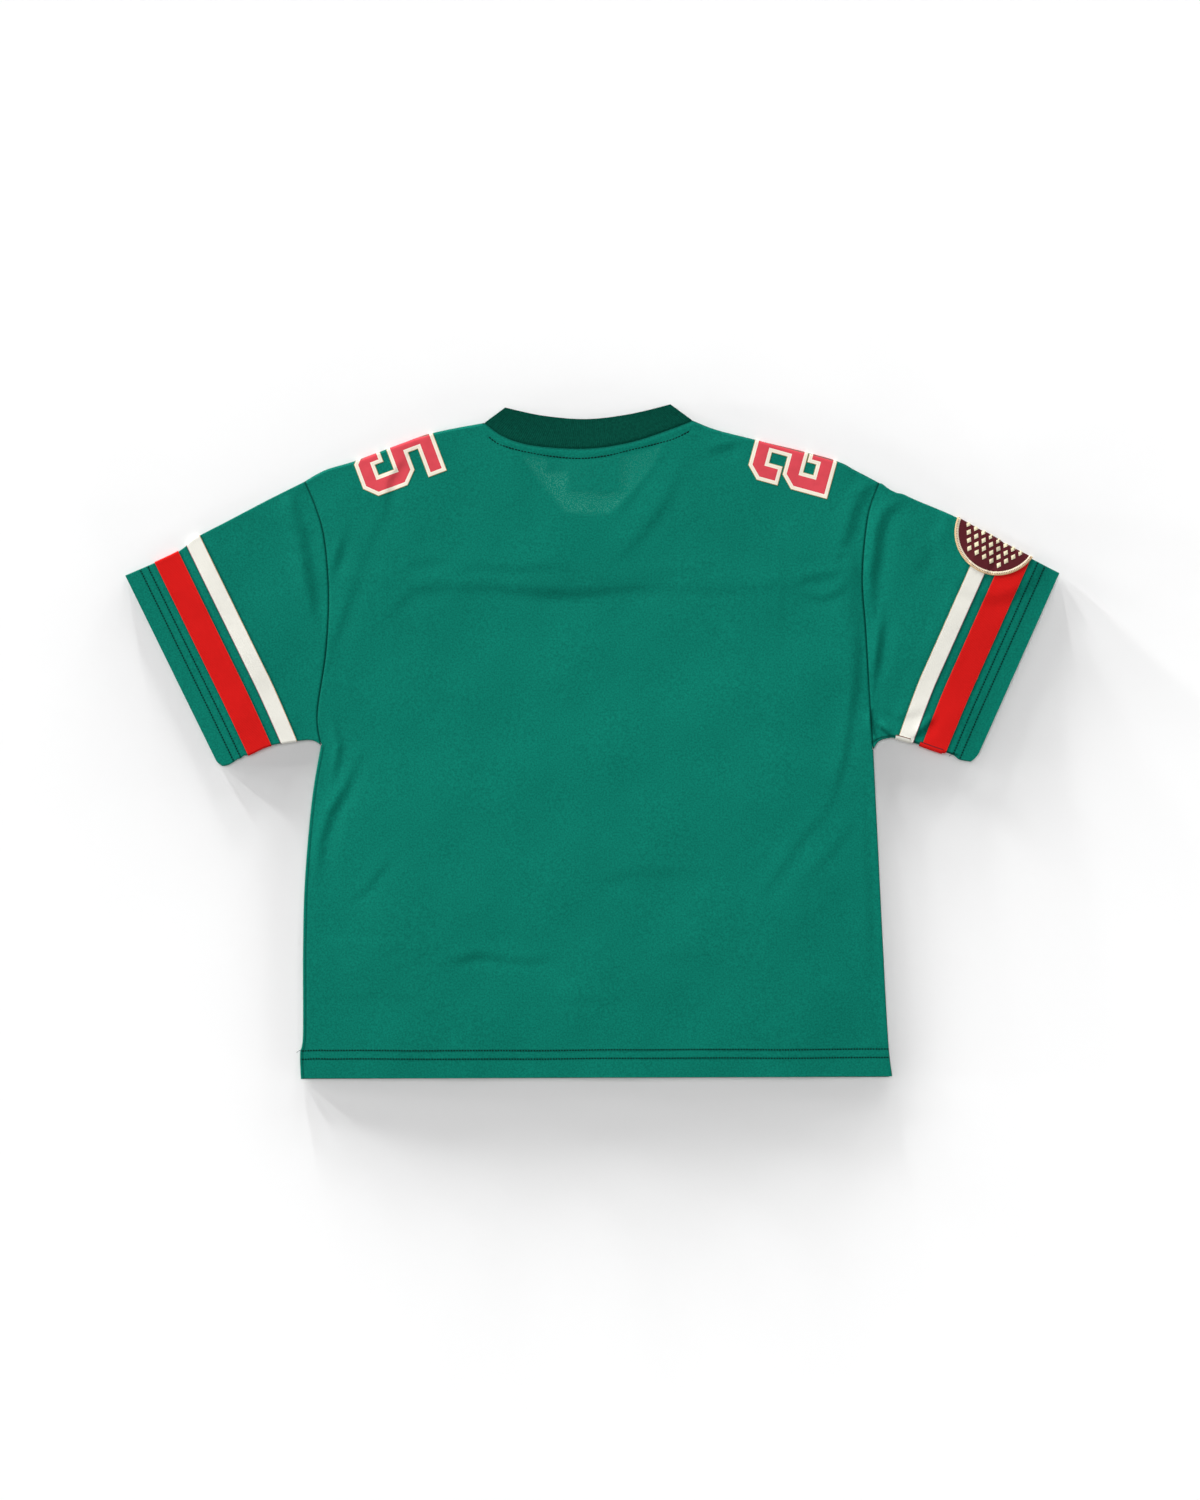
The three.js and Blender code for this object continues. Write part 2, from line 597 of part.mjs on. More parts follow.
// ---- round sleeve patch, over the tapes and over the top fold ----
function patch() {
  const turns = PATCH_TURNS.map(THREE.MathUtils.degToRad);
  const clear = turns.map((turn) => PATCH.radius * Math.cos(turn) - PATCH.past);
  const bands = [...clear, ...rolls.map((roll) => roll * FOLD)].sort((a, b) => a - b);
  const columns = 8;
  const point = (i, j, h) => {
    const b = bands[j];
    const half = Math.sqrt(PATCH.radius ** 2 - (b + PATCH.past) ** 2);
    const along = (PATCH.along + half * (2 * i / columns - 1)) / RIGHT.top.getLength();
    const edge = RIGHT.top.getPointAt(along);
    const depth = Math.max(FOLD, Math.abs(b) - FOLD_ARC + FOLD);
    return acrossEdge(edge, patchInward, b, h + tapeLift(edge.clone().addScaledVector(patchInward, depth)));
  };
  return wall('patch', COLOURS.patch, { columns, rows: bands.length - 1, point }, SEAM, STACK);
}

// ---- block numerals on the shoulders ----
// Outlines run from the foot of the figure; x to its right, y up.
function fiveOutline({ width, height, stroke, cut, gap, notch }) {
  const bowl = height - stroke - gap;
  const hook = bowl - stroke - notch;
  return [
    [0, height], [width, height], [width, height - stroke], [stroke, height - stroke], [stroke, bowl],
    [width - cut, bowl], [width, bowl - cut], [width, cut], [width - cut, 0], [0, 0],
    [0, hook], [stroke, hook], [stroke, stroke], [width - stroke, stroke],
    [width - stroke, bowl - stroke], [0, bowl - stroke],
  ];
}

function twoOutline({ width, height, stroke, cut, gap, slit }) {
  const bar = 2 * stroke + gap;
  const hook = bar + 2 * slit;
  const serif = stroke + gap - slit;
  return [
    [0, 0], [width, 0], [width, serif], [width - stroke, serif], [width - stroke, stroke],
    [stroke, stroke], [stroke, stroke + gap], [width, stroke + gap], [width, height],
    [cut, height], [0, height - cut], [0, hook], [stroke, hook], [stroke, height - stroke],
    [width - stroke, height - stroke], [width - stroke, bar], [cut, bar], [0, bar - cut],
  ];
}

/** 1 inside the outline, -1 outside, 0 on it. */
function sideOf(points, x, y) {
  let within = -1;
  for (let k = 0; k < points.length; k += 1) {
    const [ax, ay] = points[k];
    const [bx, by] = points[(k + 1) % points.length];
    const cross = (bx - ax) * (y - ay) - (by - ay) * (x - ax);
    const between = (x - ax) * (x - bx) + (y - ay) * (y - by) <= 0;
    if (Math.abs(cross) < TINY && between) return 0;
    const crossing = ax + (y - ay) * (bx - ax) / (by - ay);
    if ((ay > y) !== (by > y) && x < crossing) within = -within;
  }
  return within;
}

function unique(values) {
  const rounded = values.map((value) => Number(value.toFixed(4)));
  return [...new Set(rounded)].sort((a, b) => a - b);
}

function numeral(name, points, foldAt, place) {
  const rollLines = rolls.map((roll) => foldAt + roll * FOLD);
  const xs = unique([...points.map(([x]) => x), ...rollLines]);
  const ys = unique(points.map(([, y]) => y));
  const centroid = (i, j, u, v) => sideOf(
    points,
    xs[i] + (xs[i + 1] - xs[i]) * u,
    ys[j] + (ys[j + 1] - ys[j]) * v,
  );
  const keep = (i, j) => {
    const near = { a: centroid(i, j, 1 / 3, 1 / 3), b: centroid(i, j, 2 / 3, 1 / 3) };
    const far = { c: centroid(i, j, 2 / 3, 2 / 3), d: centroid(i, j, 1 / 3, 2 / 3) };
    const corners = { ...near, ...far };
    const cutOff = Object.keys(corners).find((key) => corners[key] < 0);
    if (cutOff === undefined) return true;
    return Object.values(corners).some((value) => value > 0) ? cutOff : false;
  };
  return wall(name, COLOURS.numeral, {
    columns: xs.length - 1,
    rows: ys.length - 1,
    keep,
    point: (i, j, h) => place(xs[i], ys[j], h),
  }, SEAM, STACK);
}

function shoulderPlace(shoulder, along, b, h, middle) {
  const length = shoulder.getLength();
  const inward = inside(shoulder.getTangentAt(middle / length), -1);
  return acrossEdge(shoulder.getPointAt(along / length), inward, b, h);
}

const half = NUMERAL.height / 2;
const five = () => numeral('number_left', fiveOutline(NUMERAL), FIVE.past, (x, y, h) => (
  shoulderPlace(shoulderLeft, FIVE.start + y, x - FIVE.past, h, FIVE.start + half)));
const two = () => numeral('number_right', twoOutline(NUMERAL), NUMERAL.width - TWO.past, (x, y, h) => (
  shoulderPlace(shoulderRight, TWO.start - y, NUMERAL.width - TWO.past - x, h, TWO.start - half)));

// ---- blank labels inside, under the back panel ----
function neckLabel({ name, x0, x1, y0, y1 }) {
  const columns = 4;
  const rows = 3;
  const point = (i, j, h) => onTop(new THREE.Vector2(
    THREE.MathUtils.lerp(x0, x1, i / columns),
    THREE.MathUtils.lerp(y0, y1, j / rows),
  ), h);
  return wall(name, COLOURS.label, { columns, rows, point }, -WALL - STACK, -WALL - SEAM);
}

function careLabel() {
  const { column, columns, row, rows } = CARE_LABEL;
  const point = (i, j, h) => backPoint(column + i, row + j, h);
  return wall('care_label', COLOURS.label, { columns, rows, point }, -WALL - STACK, -WALL - SEAM);
}

const shirt = new THREE.Group();
shirt.add(backPanel(), frontPanel(), collar());
[LEFT, RIGHT].forEach((side) => {
  shirt.add(sleeve(side), tape(side, 'red'), tape(side, 'white'));
});
shirt.add(patch(), five(), two(), ...NECK_LABELS.map(neckLabel), careLabel());

export default shirt;
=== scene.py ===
"""A football t-shirt in smooth green jersey, laid flat with its back upward.

Sizes are in millimetres, on the frame's axes: X across, Y from hem to collar, Z up from the floor.
"""

import math

import bpy
import numpy as np
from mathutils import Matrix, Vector
from mathutils.geometry import delaunay_2d_cdt


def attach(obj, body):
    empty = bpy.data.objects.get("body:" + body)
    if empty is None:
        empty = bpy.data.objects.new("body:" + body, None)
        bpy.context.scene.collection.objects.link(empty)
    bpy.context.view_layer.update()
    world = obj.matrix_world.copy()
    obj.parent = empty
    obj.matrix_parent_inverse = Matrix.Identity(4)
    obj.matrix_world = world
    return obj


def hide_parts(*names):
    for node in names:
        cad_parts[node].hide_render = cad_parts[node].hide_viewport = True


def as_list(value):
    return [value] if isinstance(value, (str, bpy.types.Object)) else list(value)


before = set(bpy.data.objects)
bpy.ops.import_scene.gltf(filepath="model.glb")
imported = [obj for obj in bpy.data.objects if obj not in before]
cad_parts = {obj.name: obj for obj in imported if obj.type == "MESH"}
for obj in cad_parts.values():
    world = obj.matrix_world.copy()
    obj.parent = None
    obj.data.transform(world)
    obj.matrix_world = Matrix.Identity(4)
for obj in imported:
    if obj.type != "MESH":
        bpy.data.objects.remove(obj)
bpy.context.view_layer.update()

MM = 0.001
CLOTH = 0.6          # thickness of the jersey
ROLL = 0.9           # outer radius where the cloth doubles back at a folded edge
SEAM = 0.05          # space left in a seam
LIE = 0.24           # the lower layer's height over the floor, with room for its stitches
PUFF = 2.0           # how far the upper layer stands off the lower one
PUFF_REACH = 75.0    # and how far from the edge it gets there
PRESS = 2.0          # how deep the creases and waves are, times their tables
SIDE_LIP = 2.4       # how far each side rolls past its fold before the side seam
YOKE_Y = 126.0       # front yoke seam
HEM_DROP = 0.5       # the front hem shows this far below the back one
HEM_DEPTH = 22.5     # turned-up hem
HEM_EXTRA = 0.45     # second layer in a hem
HEM_ROWS = (14.8, 21.4)
CUFF_ROWS = (12.5, 18.9)
CUFF_DEPTH = 20.0
TAPES = {"red": (25.1, 45.4), "white": (53.0, 66.0)}
TAPE = 0.55
TAPE_RAMPS = (24.0, 13.0)    # how far the cloth takes to come down from the tapes, to cuff and to body
SKIN = 0.12          # space under a trim
PATCH_RADIUS = 33.5
PATCH_ALONG = 100.2  # its centre along the right sleeve's top edge, from the shoulder
PATCH_PAST = 4.6     # and past that edge, on the front
PATCH = 0.9
BORDER_RISE = 0.35   # how far the patch's sewn edge stands over its cloth
NUMERAL = {"height": 66.3, "width": 39.1, "stroke": 15.4, "cut": 9.4, "gap": 7.9, "notch": 5.1, "slit": 0.6}
TAPE_EDGE_STEPS = (-0.9, -0.35, 0.3)    # rows of cloth beside each tape edge, for the painted shade line along it
NECK_HALF = 84.0     # half the neck's width, shoulder to shoulder
UNDERARM_Y = -3.0
SLEEVE_X = 215.0     # the sleeves lie past this from the middle
CUFF_X = 236.0       # and their cuffs past this
DRAWN_REACH = 48.0   # over this length above the underarm, the cloth is drawn out towards the cuff
HEM_CORNER = (-227.0, -262.5)
HEM_SLOPE = 1.6 / 461     # the hem rises this much to the right
LIGHT_WAY = np.array([0.5, -0.87])   # the way the key light travels across the floor


# ---------------------------------------------------------------- curves and patches of the plane
def run_lengths(points):
    """Length along a polyline from its start to each of its points."""
    return np.concatenate([[0], np.cumsum(np.linalg.norm(np.diff(points, axis=0), axis=1))])


class Line:
    """A smooth curve through a few points, read by its share of length from 0 to 1."""

    def __init__(self, *points):
        p = np.array([points[0], *points, points[-1]], float)
        t = np.linspace(0, 1, 40, endpoint=False)[:, None]
        runs = []
        for a, b, c, d in zip(p, p[1:], p[2:], p[3:]):
            v0, v1 = (c - a) / 2, (d - b) / 2
            runs.append((2 * b - 2 * c + v0 + v1) * t**3 + (3 * c - 3 * b - 2 * v0 - v1) * t**2 + v0 * t + b)
        self.points = np.vstack([*runs, p[-1]])
        self.lengths = run_lengths(self.points)
        self.length = self.lengths[-1]

    def at(self, share):
        place = np.clip(np.asarray(share, float), 0, 1) * self.length
        return np.stack([np.interp(place, self.lengths, self.points[:, k]) for k in (0, 1)], axis=-1)

    def tangent(self, share):
        step = 0.002
        run = self.at(np.asarray(share) + step) - self.at(np.asarray(share) - step)
        return run / np.linalg.norm(run, axis=-1, keepdims=True)

    def distance(self, p):
        return polyline_distance(p, self.points[::4])[0]


def polyline_distance(p, points):
    """Distance of each point of p from a polyline, the side it lies on and its place along the line."""
    flat = p.reshape(-1, 2)
    best = np.full(len(flat), np.inf)
    side = np.ones(len(flat))
    along = np.zeros(len(flat))
    starts = run_lengths(points)
    for k, (a, b) in enumerate(zip(points[:-1], points[1:])):
        run = b - a
        size = math.hypot(*run)
        if size == 0:
            continue
        t = np.clip((flat - a) @ run / size**2, 0, 1)
        off = flat - a - t[:, None] * run
        gap = np.hypot(off[:, 0], off[:, 1])
        nearer = gap < best
        best = np.where(nearer, gap, best)
        cross = run[0] * (flat[:, 1] - a[1]) - run[1] * (flat[:, 0] - a[0])
        side = np.where(nearer, np.sign(cross), side)
        along = np.where(nearer, (starts[k] + t * size) / starts[-1], along)
    shape = p.shape[:-1]
    return best.reshape(shape), side.reshape(shape), along.reshape(shape)


def smooth(value):
    value = np.clip(value, 0, 1)
    return value * value * (3 - 2 * value)


def shelf(value, low, high, ramp):
    return smooth((value - low) / ramp + 1) * smooth((high - value) / ramp + 1)


def bump(value, reach):
    return np.exp(-((value / reach) ** 2))


def mix(a, b, t):
    return a + (b - a) * t


def unit(v):
    return v / np.linalg.norm(v, axis=-1, keepdims=True)


def coons(bottom, top, left, right, s, r):
    """Grid of the plane between four edge curves: rows follow r, columns follow s."""
    s, r = s[None, :, None], r[:, None, None]
    across = mix(bottom[None], top[None], r)
    along = mix(left[:, None], right[:, None], s)
    corners = mix(mix(bottom[0], bottom[-1], s), mix(top[0], top[-1], s), r)
    return across + along - corners


# ---------------------------------------------------------------- the outline on the floor
SIDE_LEFT = Line((-227.1, -262.5), (-227.7, -243), (-225.5, -229), (-225.4, -162.6), (-223.9, -108),
                 (-218.4, -45.6), (-211.4, -2.7))
ARMHOLE_LEFT = Line((-211.4, -2.7), (-214.3, 21.6), (-207.4, 70), (-205.3, 115.1), (-208.7, 158),
                    (-215.6, 182.9), (-224, 202.7))
SHOULDER_LEFT = Line((-224, 202.7), (-207.5, 211.8), (-181.7, 219.6), (-128.7, 239.1), (-83.9, 248.4))
NECK = Line((-83.9, 248.4), (-67.9, 237.2), (-43.9, 230.5), (-3.7, 228.4), (30.7, 233.5), (60.5, 243.2),
            (78.4, 250.2))
SHOULDER_RIGHT = Line((78.4, 250.2), (96.7, 243), (127.1, 235.2), (187.2, 219.6), (205, 211.4),
                      (223.7, 201.6))
ARMHOLE_RIGHT = Line((219.2, -6.2), (216.8, 27.7), (213.3, 87.3), (210.6, 130), (215.3, 176.8),
                     (223.7, 201.6))
SIDE_RIGHT = Line((234, -260.9), (230.9, -232.8), (227, -162.6), (223.1, -84.6), (219.2, -6.2))
COLLAR_EDGE = Line((-67.9, 260.4), (-38, 254), (-3.7, 251.4), (30, 255.4), (61.2, 262.9))
VEE_EDGE = Line((-67.9, 260.4), (-54.6, 223.5), (-25, 185), (-17, 179), (-1.6, 177.6), (11, 178.4),
                (19, 183.4), (48.4, 218), (61.2, 262.9))
TOPSTITCH = Line((-80.5, 237.5), (-69.4, 230.5), (-43.9, 224.3), (-14.1, 220.7), (8.3, 222.3),
                 (30.7, 227.5), (60.5, 234.8), (76.2, 242))
UNDERARM_SEAM = Line((218.6, -0.6), (223.3, 2.2), (229.5, 3.8), (236, 4.2), (249, 0.6), (254, -1), (266, -5),
                     (276.5, -8.2), (285.3, -10.6))
VEE_POINT = np.array([7.8, YOKE_Y + 0.3])
ARMHOLES = (ARMHOLE_LEFT, ARMHOLE_RIGHT)
FIVE_ALONG, TWO_ALONG = 40.9, 52.2   # where the numerals start along the shoulders, from their left ends


class Sleeve:
    """One sleeve's outline: armhole, top fold, underarm fold and cuff."""

    def __init__(self, name, away, armhole, top, under, rounded, drawn):
        self.name, self.away, self.armhole, self.top, self.under = name, away, armhole, top, under
        self.rounded = rounded      # how far the cuff's lower corner is turned in, and over what length
        self.drawn = drawn          # how much the cloth near the underarm is drawn out
        self.corner, self.tip = top.at(1), under.at(1)
        self.along = unit(np.array(under.points[-1]) - self.corner)
        self.inward = np.array([self.along[1], -self.along[0]]) * away
        self.width = math.dist(self.corner, self.tip)

    def cuff_place(self, p):
        """Distance in from the cuff, and distance along it from its top corner."""
        off = p - self.corner
        depth, along = off @ self.inward, off @ self.along
        near_fold = np.clip((along - self.width) / DRAWN_REACH + 1, 0, 1.2)
        return depth * (1 + self.drawn * near_fold ** 1.5), along

    def flat(self, u, v):
        """The sleeve on the floor: u from armhole to cuff, v from underarm to top."""
        seam = self.armhole.at(v) + np.array([self.away * SEAM, 0])
        cuff = mix(self.tip, self.corner, v[:, None])
        turned_in = self.rounded[0] * np.clip(1 - v * self.width / self.rounded[1], 0, 1) ** 2
        cuff = cuff + turned_in[:, None] * self.inward
        off = np.outer(1 - u, [self.away * SEAM, 0])
        return coons(self.under.at(u) + off, self.top.at(u) + off, seam, cuff, u, v)

    def rows(self, depths, shares, v):
        """Rows at distances in from the cuff, then at shares of the way from there to the armhole."""
        u = np.linspace(0, 1, 201)
        grid = self.flat(u, v)
        depth = self.cuff_place(grid)[0]
        places = [np.array([np.interp(d, line[::-1], u[::-1]) for line in depth]) for d in depths]
        places[0] = np.ones(len(v))
        places += [places[-1] * (1 - share) for share in shares]
        return np.array([
            [[np.interp(place, u, grid[k, :, axis]) for axis in (0, 1)] for k, place in enumerate(row)]
            for row in places
        ])


LEFT = Sleeve(
    "left", -1, ARMHOLE_LEFT,
    Line((-224, 202.7), (-252.7, 188.4), (-282.4, 172.8), (-308.6, 158.9), (-324.5, 147), (-363.9, 129.5)),
    Line((-211.4, -2.7), (-221.5, 1), (-251.2, -3.5), (-265, -9.2), (-270.5, -11.6), (-273.2, -11.7),
         (-275.4, -13.9), (-278.2, -14.7), (-281.3, -16.9), (-286.6, -19.9), (-290.4, -20.2)),
    (2.6, 7), 0.032,
)
RIGHT = Sleeve(
    "right", 1, ARMHOLE_RIGHT,
    Line((223.7, 201.6), (226.5, 200.8), (230.5, 197.6), (237, 194.1), (242.6, 192.9), (252.7, 188.2),
         (284.7, 174.3), (329.2, 149.4), (364.3, 131.4)),
    Line((219.2, -6.2), (223.5, -0.2), (230, 2.2), (236.8, 2.4), (248, -0.6), (255, -2.6), (266, -6.6),
         (275, -9.3), (279.2, -9.8), (284.2, -11.8), (289, -15.2), (298, -17)),
    (3.2, 10), 0.05,
)
SLEEVES = (LEFT, RIGHT)
OUTLINE = np.vstack([
    SIDE_LEFT.points, LEFT.under.points, LEFT.top.points[::-1], SHOULDER_LEFT.points,
    COLLAR_EDGE.points, SHOULDER_RIGHT.points, RIGHT.top.points, RIGHT.under.points[::-1],
    SIDE_RIGHT.points[::-1], SIDE_LEFT.points[:1],
])[::5]

# ---------------------------------------------------------------- creases
# Each row: name, half width, depth of a soft one-sided fall away from the light, points of the path.
CREASES = (
    ("left sleeve head", 4.6, 1.25, ((-233, 196), (-230, 178), (-224.5, 165), (-223, 146))),
    ("left sleeve head, dent", 3.4, 0.5, ((-230, 172), (-224.5, 166), (-220, 158))),
    ("left sleeve head, lower", 4.4, 1.15, ((-224.5, 152), (-220.5, 129), (-214.5, 98))),
    ("left sleeve middle", 12, 0.3, ((-296, 168), (-284, 132), (-277, 102))),
    ("left armhole", 3.2, 0.55, ((-193, 160), (-196, 148), (-201, 131))),
    ("through the 5", 3.2, 0.5, ((-145, 221), (-157, 203), (-160, 184))),
    ("left shoulder blade", 5, 0.2, ((-157, 190), (-172, 156), (-186, 122))),
    ("left blade, lower", 4.5, 0.36, ((-182, 128), (-195, 92), (-203, 66))),
    ("yoke left, upper", 4, 0.2, ((-152, 131), (-135, 139), (-106, 141))),
    ("yoke left, lower", 4.5, 0.28, ((-156, 101), (-138, 118), (-108, 120))),
    ("yoke middle, upper", 3.8, 0.28, ((-114, 131), (-88, 136), (-62, 133.6), (-35, 136), (-8, 131))),
    ("yoke middle, lower", 4, 0.25, ((-108, 119.5), (-79, 119.8), (-50, 117))),
    ("yoke middle, deepest", 4.4, 0.55, ((-64, 118), (-38, 115.8), (-14, 115), (18, 117.5))),
    ("yoke middle, end", 4, 0.25, ((8, 117), (35, 119.8), (60, 119))),
    ("yoke right, lower", 4, 0.12, ((52, 118), (95, 117), (150, 120))),
    ("yoke right, upper", 4, 0.16, ((22, 129), (66, 131.5), (108, 135))),
    ("yoke right, end", 3, 0.34, ((157, 121), (169, 127.5), (187, 129.5), (199, 133))),
    ("yoke right, under", 3, 0.34, ((159, 114.5), (180, 111), (194, 116.5), (200, 127))),
    ("right of the collar", 3.2, 0.6, ((90, 225), (101, 228.5), (117, 232))),
    ("collar to yoke", 4.8, 0.3, ((72, 214), (59, 187), (41, 162), (18, 139))),
    ("along the front neck, right", 3.5, 0.2, ((52, 218), (37, 198), (20, 176))),
    ("along the front neck, left", 3, 0.1, ((-56, 214), (-40, 192), (-24, 177))),
    ("right armhole, upper", 4.5, 0.7, ((219, 199), (205.5, 180), (202, 165), (195, 148))),
    ("right armhole, curl", 3, 0.3, ((196, 146), (206, 137), (208, 118))),
    ("right armhole, long", 8, 0.55, ((213, 186), (207, 150), (204.5, 110), (207, 60), (210, 20))),
    ("right armhole, down", 3.6, 0.45, ((209, 92), (206.5, 45), (198, -12), (186, -50))),
    ("right sleeve head", 3.8, 1.1, ((243, 190), (236, 182), (229, 177), (224.4, 163), (222.5, 147),
        (219.5, 128), (220.4, 106))),
    ("right sleeve head, lower", 3.2, 0.85, ((227.4, 96), (224, 72), (221, 46))),
    ("right sleeve, top", 5, 0.2, ((262, 168), (273, 178), (282, 171))),
    ("right sleeve, middle", 6, 0.3, ((278, 163), (264, 149), (250, 127))),
    ("right underarm, outer", 3.4, 0.35, ((222, 27), (238, 17), (258, 24))),
    ("left underarm crescent", 1.9, 0.85, ((-200.5, 16), (-195.6, -3), (-200, -28))),
    ("left waist", 3.4, 0.78, ((-182, -16), (-192, -38), (-203, -56), (-209.5, -78), (-211.5, -106))),
    ("left waist, lower", 3.2, 0.26, ((-157, -92), (-175, -114.5), (-190, -126))),
    ("right waist", 4, 0.24, ((184, -52), (160, -82), (133, -123))),
    ("right waist, lower", 3.6, 0.2, ((205, -63), (187, -87), (164, -110))),
    ("middle back", 5, 0.15, ((-4, -110), (41, -102), (106, -104))),
    ("lower back", 3.4, 0.36, ((-111, -172), (-88, -166.5), (-65, -170.5))),
    ("lower back, thin end", 3.2, 0.2, ((-68, -170), (-48, -171), (-32, -170))),
    ("lower back, middle", 5, 0.1, ((-36, -199), (24, -202))),
    ("lower back, right", 5, 0.1, ((46, -166), (86, -171))),
    ("right edge", 4, 0.28, ((213, -60), (218, -130), (218, -190))),
    ("right corner", 4.4, 0.28, ((203, -183), (216, -210), (229, -240))),
    ("packing fold, right", 2.4, 0.1, ((149, 160), (149, 80))),
)
# Short pleats, with the same columns, that run right up to a seam or a folded edge. The first ones are
# drawn in so far that they are dark inside; that dark is painted shade.
SHADED_PLEATS = 3
PLEATS = (
    ("right underarm, first", 2.1, 1, ((218, 24), (218.6, 14), (221, 5))),
    ("right underarm, second", 2.2, 1.3, ((221.5, 12.8), (226.5, 9.4), (232, 4.6))),
    ("right underarm, between the tapes", 2.1, 1.1, ((252.4, 4.6), (260, 10), (266, 17))),
    ("left underarm, at the seam", 1.8, 0.3, ((-213, 8), (-211.5, -2), (-208, -14))),
    ("right shoulder point", 2.6, 0.25, ((223, 199), (214, 195), (201, 190))),
)
# Creases of the underside, where the cloth lifts off the floor: name, half width, height, path.
UNDER_CREASES = (
    ("front, upper left", 8, 0.6, ((-180, 60), (-150, 10), (-160, -50))),
    ("front, middle", 9, 0.5, ((-60, 90), (-20, 60), (40, 52))),
    ("front, upper right", 8, 0.6, ((90, 100), (130, 40), (120, -20))),
    ("front, lower left", 9, 0.45, ((-120, -100), (-60, -130), (10, -128))),
    ("front, lower right", 8, 0.55, ((60, -90), (120, -150), (140, -190))),
    ("front, left corner", 7, 0.5, ((-190, -150), (-170, -200))),
    ("left sleeve", 8, 0.5, ((-250, 150), (-236, 100), (-240, 50))),
    ("right sleeve", 8, 0.5, ((250, 140), (238, 90), (244, 45))),
    ("left shoulder", 6, 0.4, ((-150, 200), (-130, 165))),
    ("right shoulder", 6, 0.4, ((120, 205), (100, 160))),
)
# Broad low waves of cloth smoothed by hand: wavelength, direction in radians, height, phase.
WAVES = (
    (118, 0.5, 0.2, 0.3),
    (83, 1.9, 0.12, 2.1),
    (57, 2.7, 0.07, 4),
    (39, 1.2, 0.035, 1.3),
    (27, 0.1, 0.02, 5.2),
    (19, 2.2, 0.01, 0.8),
)


def crease_height(p, creases, ridged=False):
    """Height that creases add: rounded ridges, or falls from one side of each path to the other."""
    total = np.zeros(p.shape[:-1])
    for _, reach, height, path in creases:
        path = np.array(path, float)
        low, high = path.min(axis=0) - 6 * reach, path.max(axis=0) + 6 * reach
        near = np.all((p > low) & (p < high), axis=-1)
        if not near.any():
            continue
        gap, side, along = polyline_distance(p[near], path)
        ends = np.clip(np.sin(np.pi * np.clip(along, 0.02, 0.98)), 0, 1) ** 0.6
        if ridged:
            form = bump(gap, reach)
        else:
            run = path[-1] - path[0]
            falls = np.sign(np.dot([-run[1], run[0]], LIGHT_WAY)) * side * gap / reach
            form = -np.tanh(1.3 * falls) * bump(falls, 2.4)
        total[near] += height * form * ends
    return total


def wave_height(p):
    total = np.zeros(p.shape[:-1])
    for length, way, height, phase in WAVES:
        along = p[..., 0] * math.cos(way) + p[..., 1] * math.sin(way)
        bend = 0.5 * np.sin(p[..., 0] / 71 + phase) + 0.5 * np.cos(p[..., 1] / 53 - phase)
        total += height * np.sin(2 * np.pi * along / length + phase + bend)
    return total


# ---------------------------------------------------------------- heights of the two layers
def hem_y(x):
    return HEM_CORNER[1] + (x - HEM_CORNER[0]) * HEM_SLOPE


def rows_groove(depth, rows):
    return sum(bump(depth - row, 0.6) for row in rows)


def hem_zone(p):
    """How far a point is inside a turned-up hem or cuff, from 0 to 1, and in its stitch rows' grooves."""
    depth = p[..., 1] - hem_y(p[..., 0])
    body = np.abs(p[..., 0]) < CUFF_X
    zone = smooth((HEM_DEPTH - depth) / 4 + 0.5) * body
    groove = rows_groove(depth, HEM_ROWS) * body
    for sleeve in SLEEVES:
        depth, along = sleeve.cuff_place(p)
        here = (along > -5) & (along < sleeve.width + 12) & (p[..., 0] * sleeve.away > CUFF_X)
        zone = zone + smooth((CUFF_DEPTH - depth) / 4 + 0.5) * here
        groove = groove + rows_groove(depth, CUFF_ROWS) * here
    return zone, groove


def tape_lift(p):
    """How far the tapes push the cloth out: all of it over and between them, less on both sides."""
    total = np.zeros(p.shape[:-1])
    for sleeve in SLEEVES:
        depth, along = sleeve.cuff_place(p)
        here = (along > -10) & (along < sleeve.width + 14) & (p[..., 0] * sleeve.away > SLEEVE_X)
        to_cuff, to_body = TAPES["red"][0] - 1 - depth, depth - TAPES["white"][1] - 1
        total += smooth(1 - to_cuff / TAPE_RAMPS[0]) * smooth(1 - to_body / TAPE_RAMPS[1]) * here
    return total * (TAPE + SKIN)


PATCH_EDGE = RIGHT.top.at(PATCH_ALONG / RIGHT.top.length)
PATCH_WAY = RIGHT.top.tangent(PATCH_ALONG / RIGHT.top.length)
PATCH_IN = np.array([PATCH_WAY[1], -PATCH_WAY[0]])
PATCH_CENTRE = PATCH_EDGE + PATCH_IN * PATCH_PAST


def patch_lift(p):
    off = np.linalg.norm(p - PATCH_CENTRE, axis=-1)
    return (PATCH + SKIN + BORDER_RISE) * smooth((PATCH_RADIUS + 4 - off) / 12 + 1)


def trim_lift(p):
    """How far the trims push the cloth away from themselves, on both layers."""
    return tape_lift(p) + patch_lift(p) + 0.55 * numeral_lift(p)


def bottom_z(p):
    """Height of the lower layer's outer face: on the floor, but for trims and creases under it."""
    zone, groove = hem_zone(p)
    seams = sum(bump(line.distance(p), 1.5) for line in ARMHOLES)
    yoke = bump(p[..., 1] - YOKE_Y, 1.5) * (np.abs(p[..., 0]) < SLEEVE_X + 1)
    creases = crease_height(p, UNDER_CREASES, ridged=True) * smooth((edge_distance(p) - 8) / 10)
    return LIE + trim_lift(p) + 0.3 * (seams + yoke) + 0.25 * groove + creases


def edge_distance(p):
    return polyline_distance(p, OUTLINE)[0]


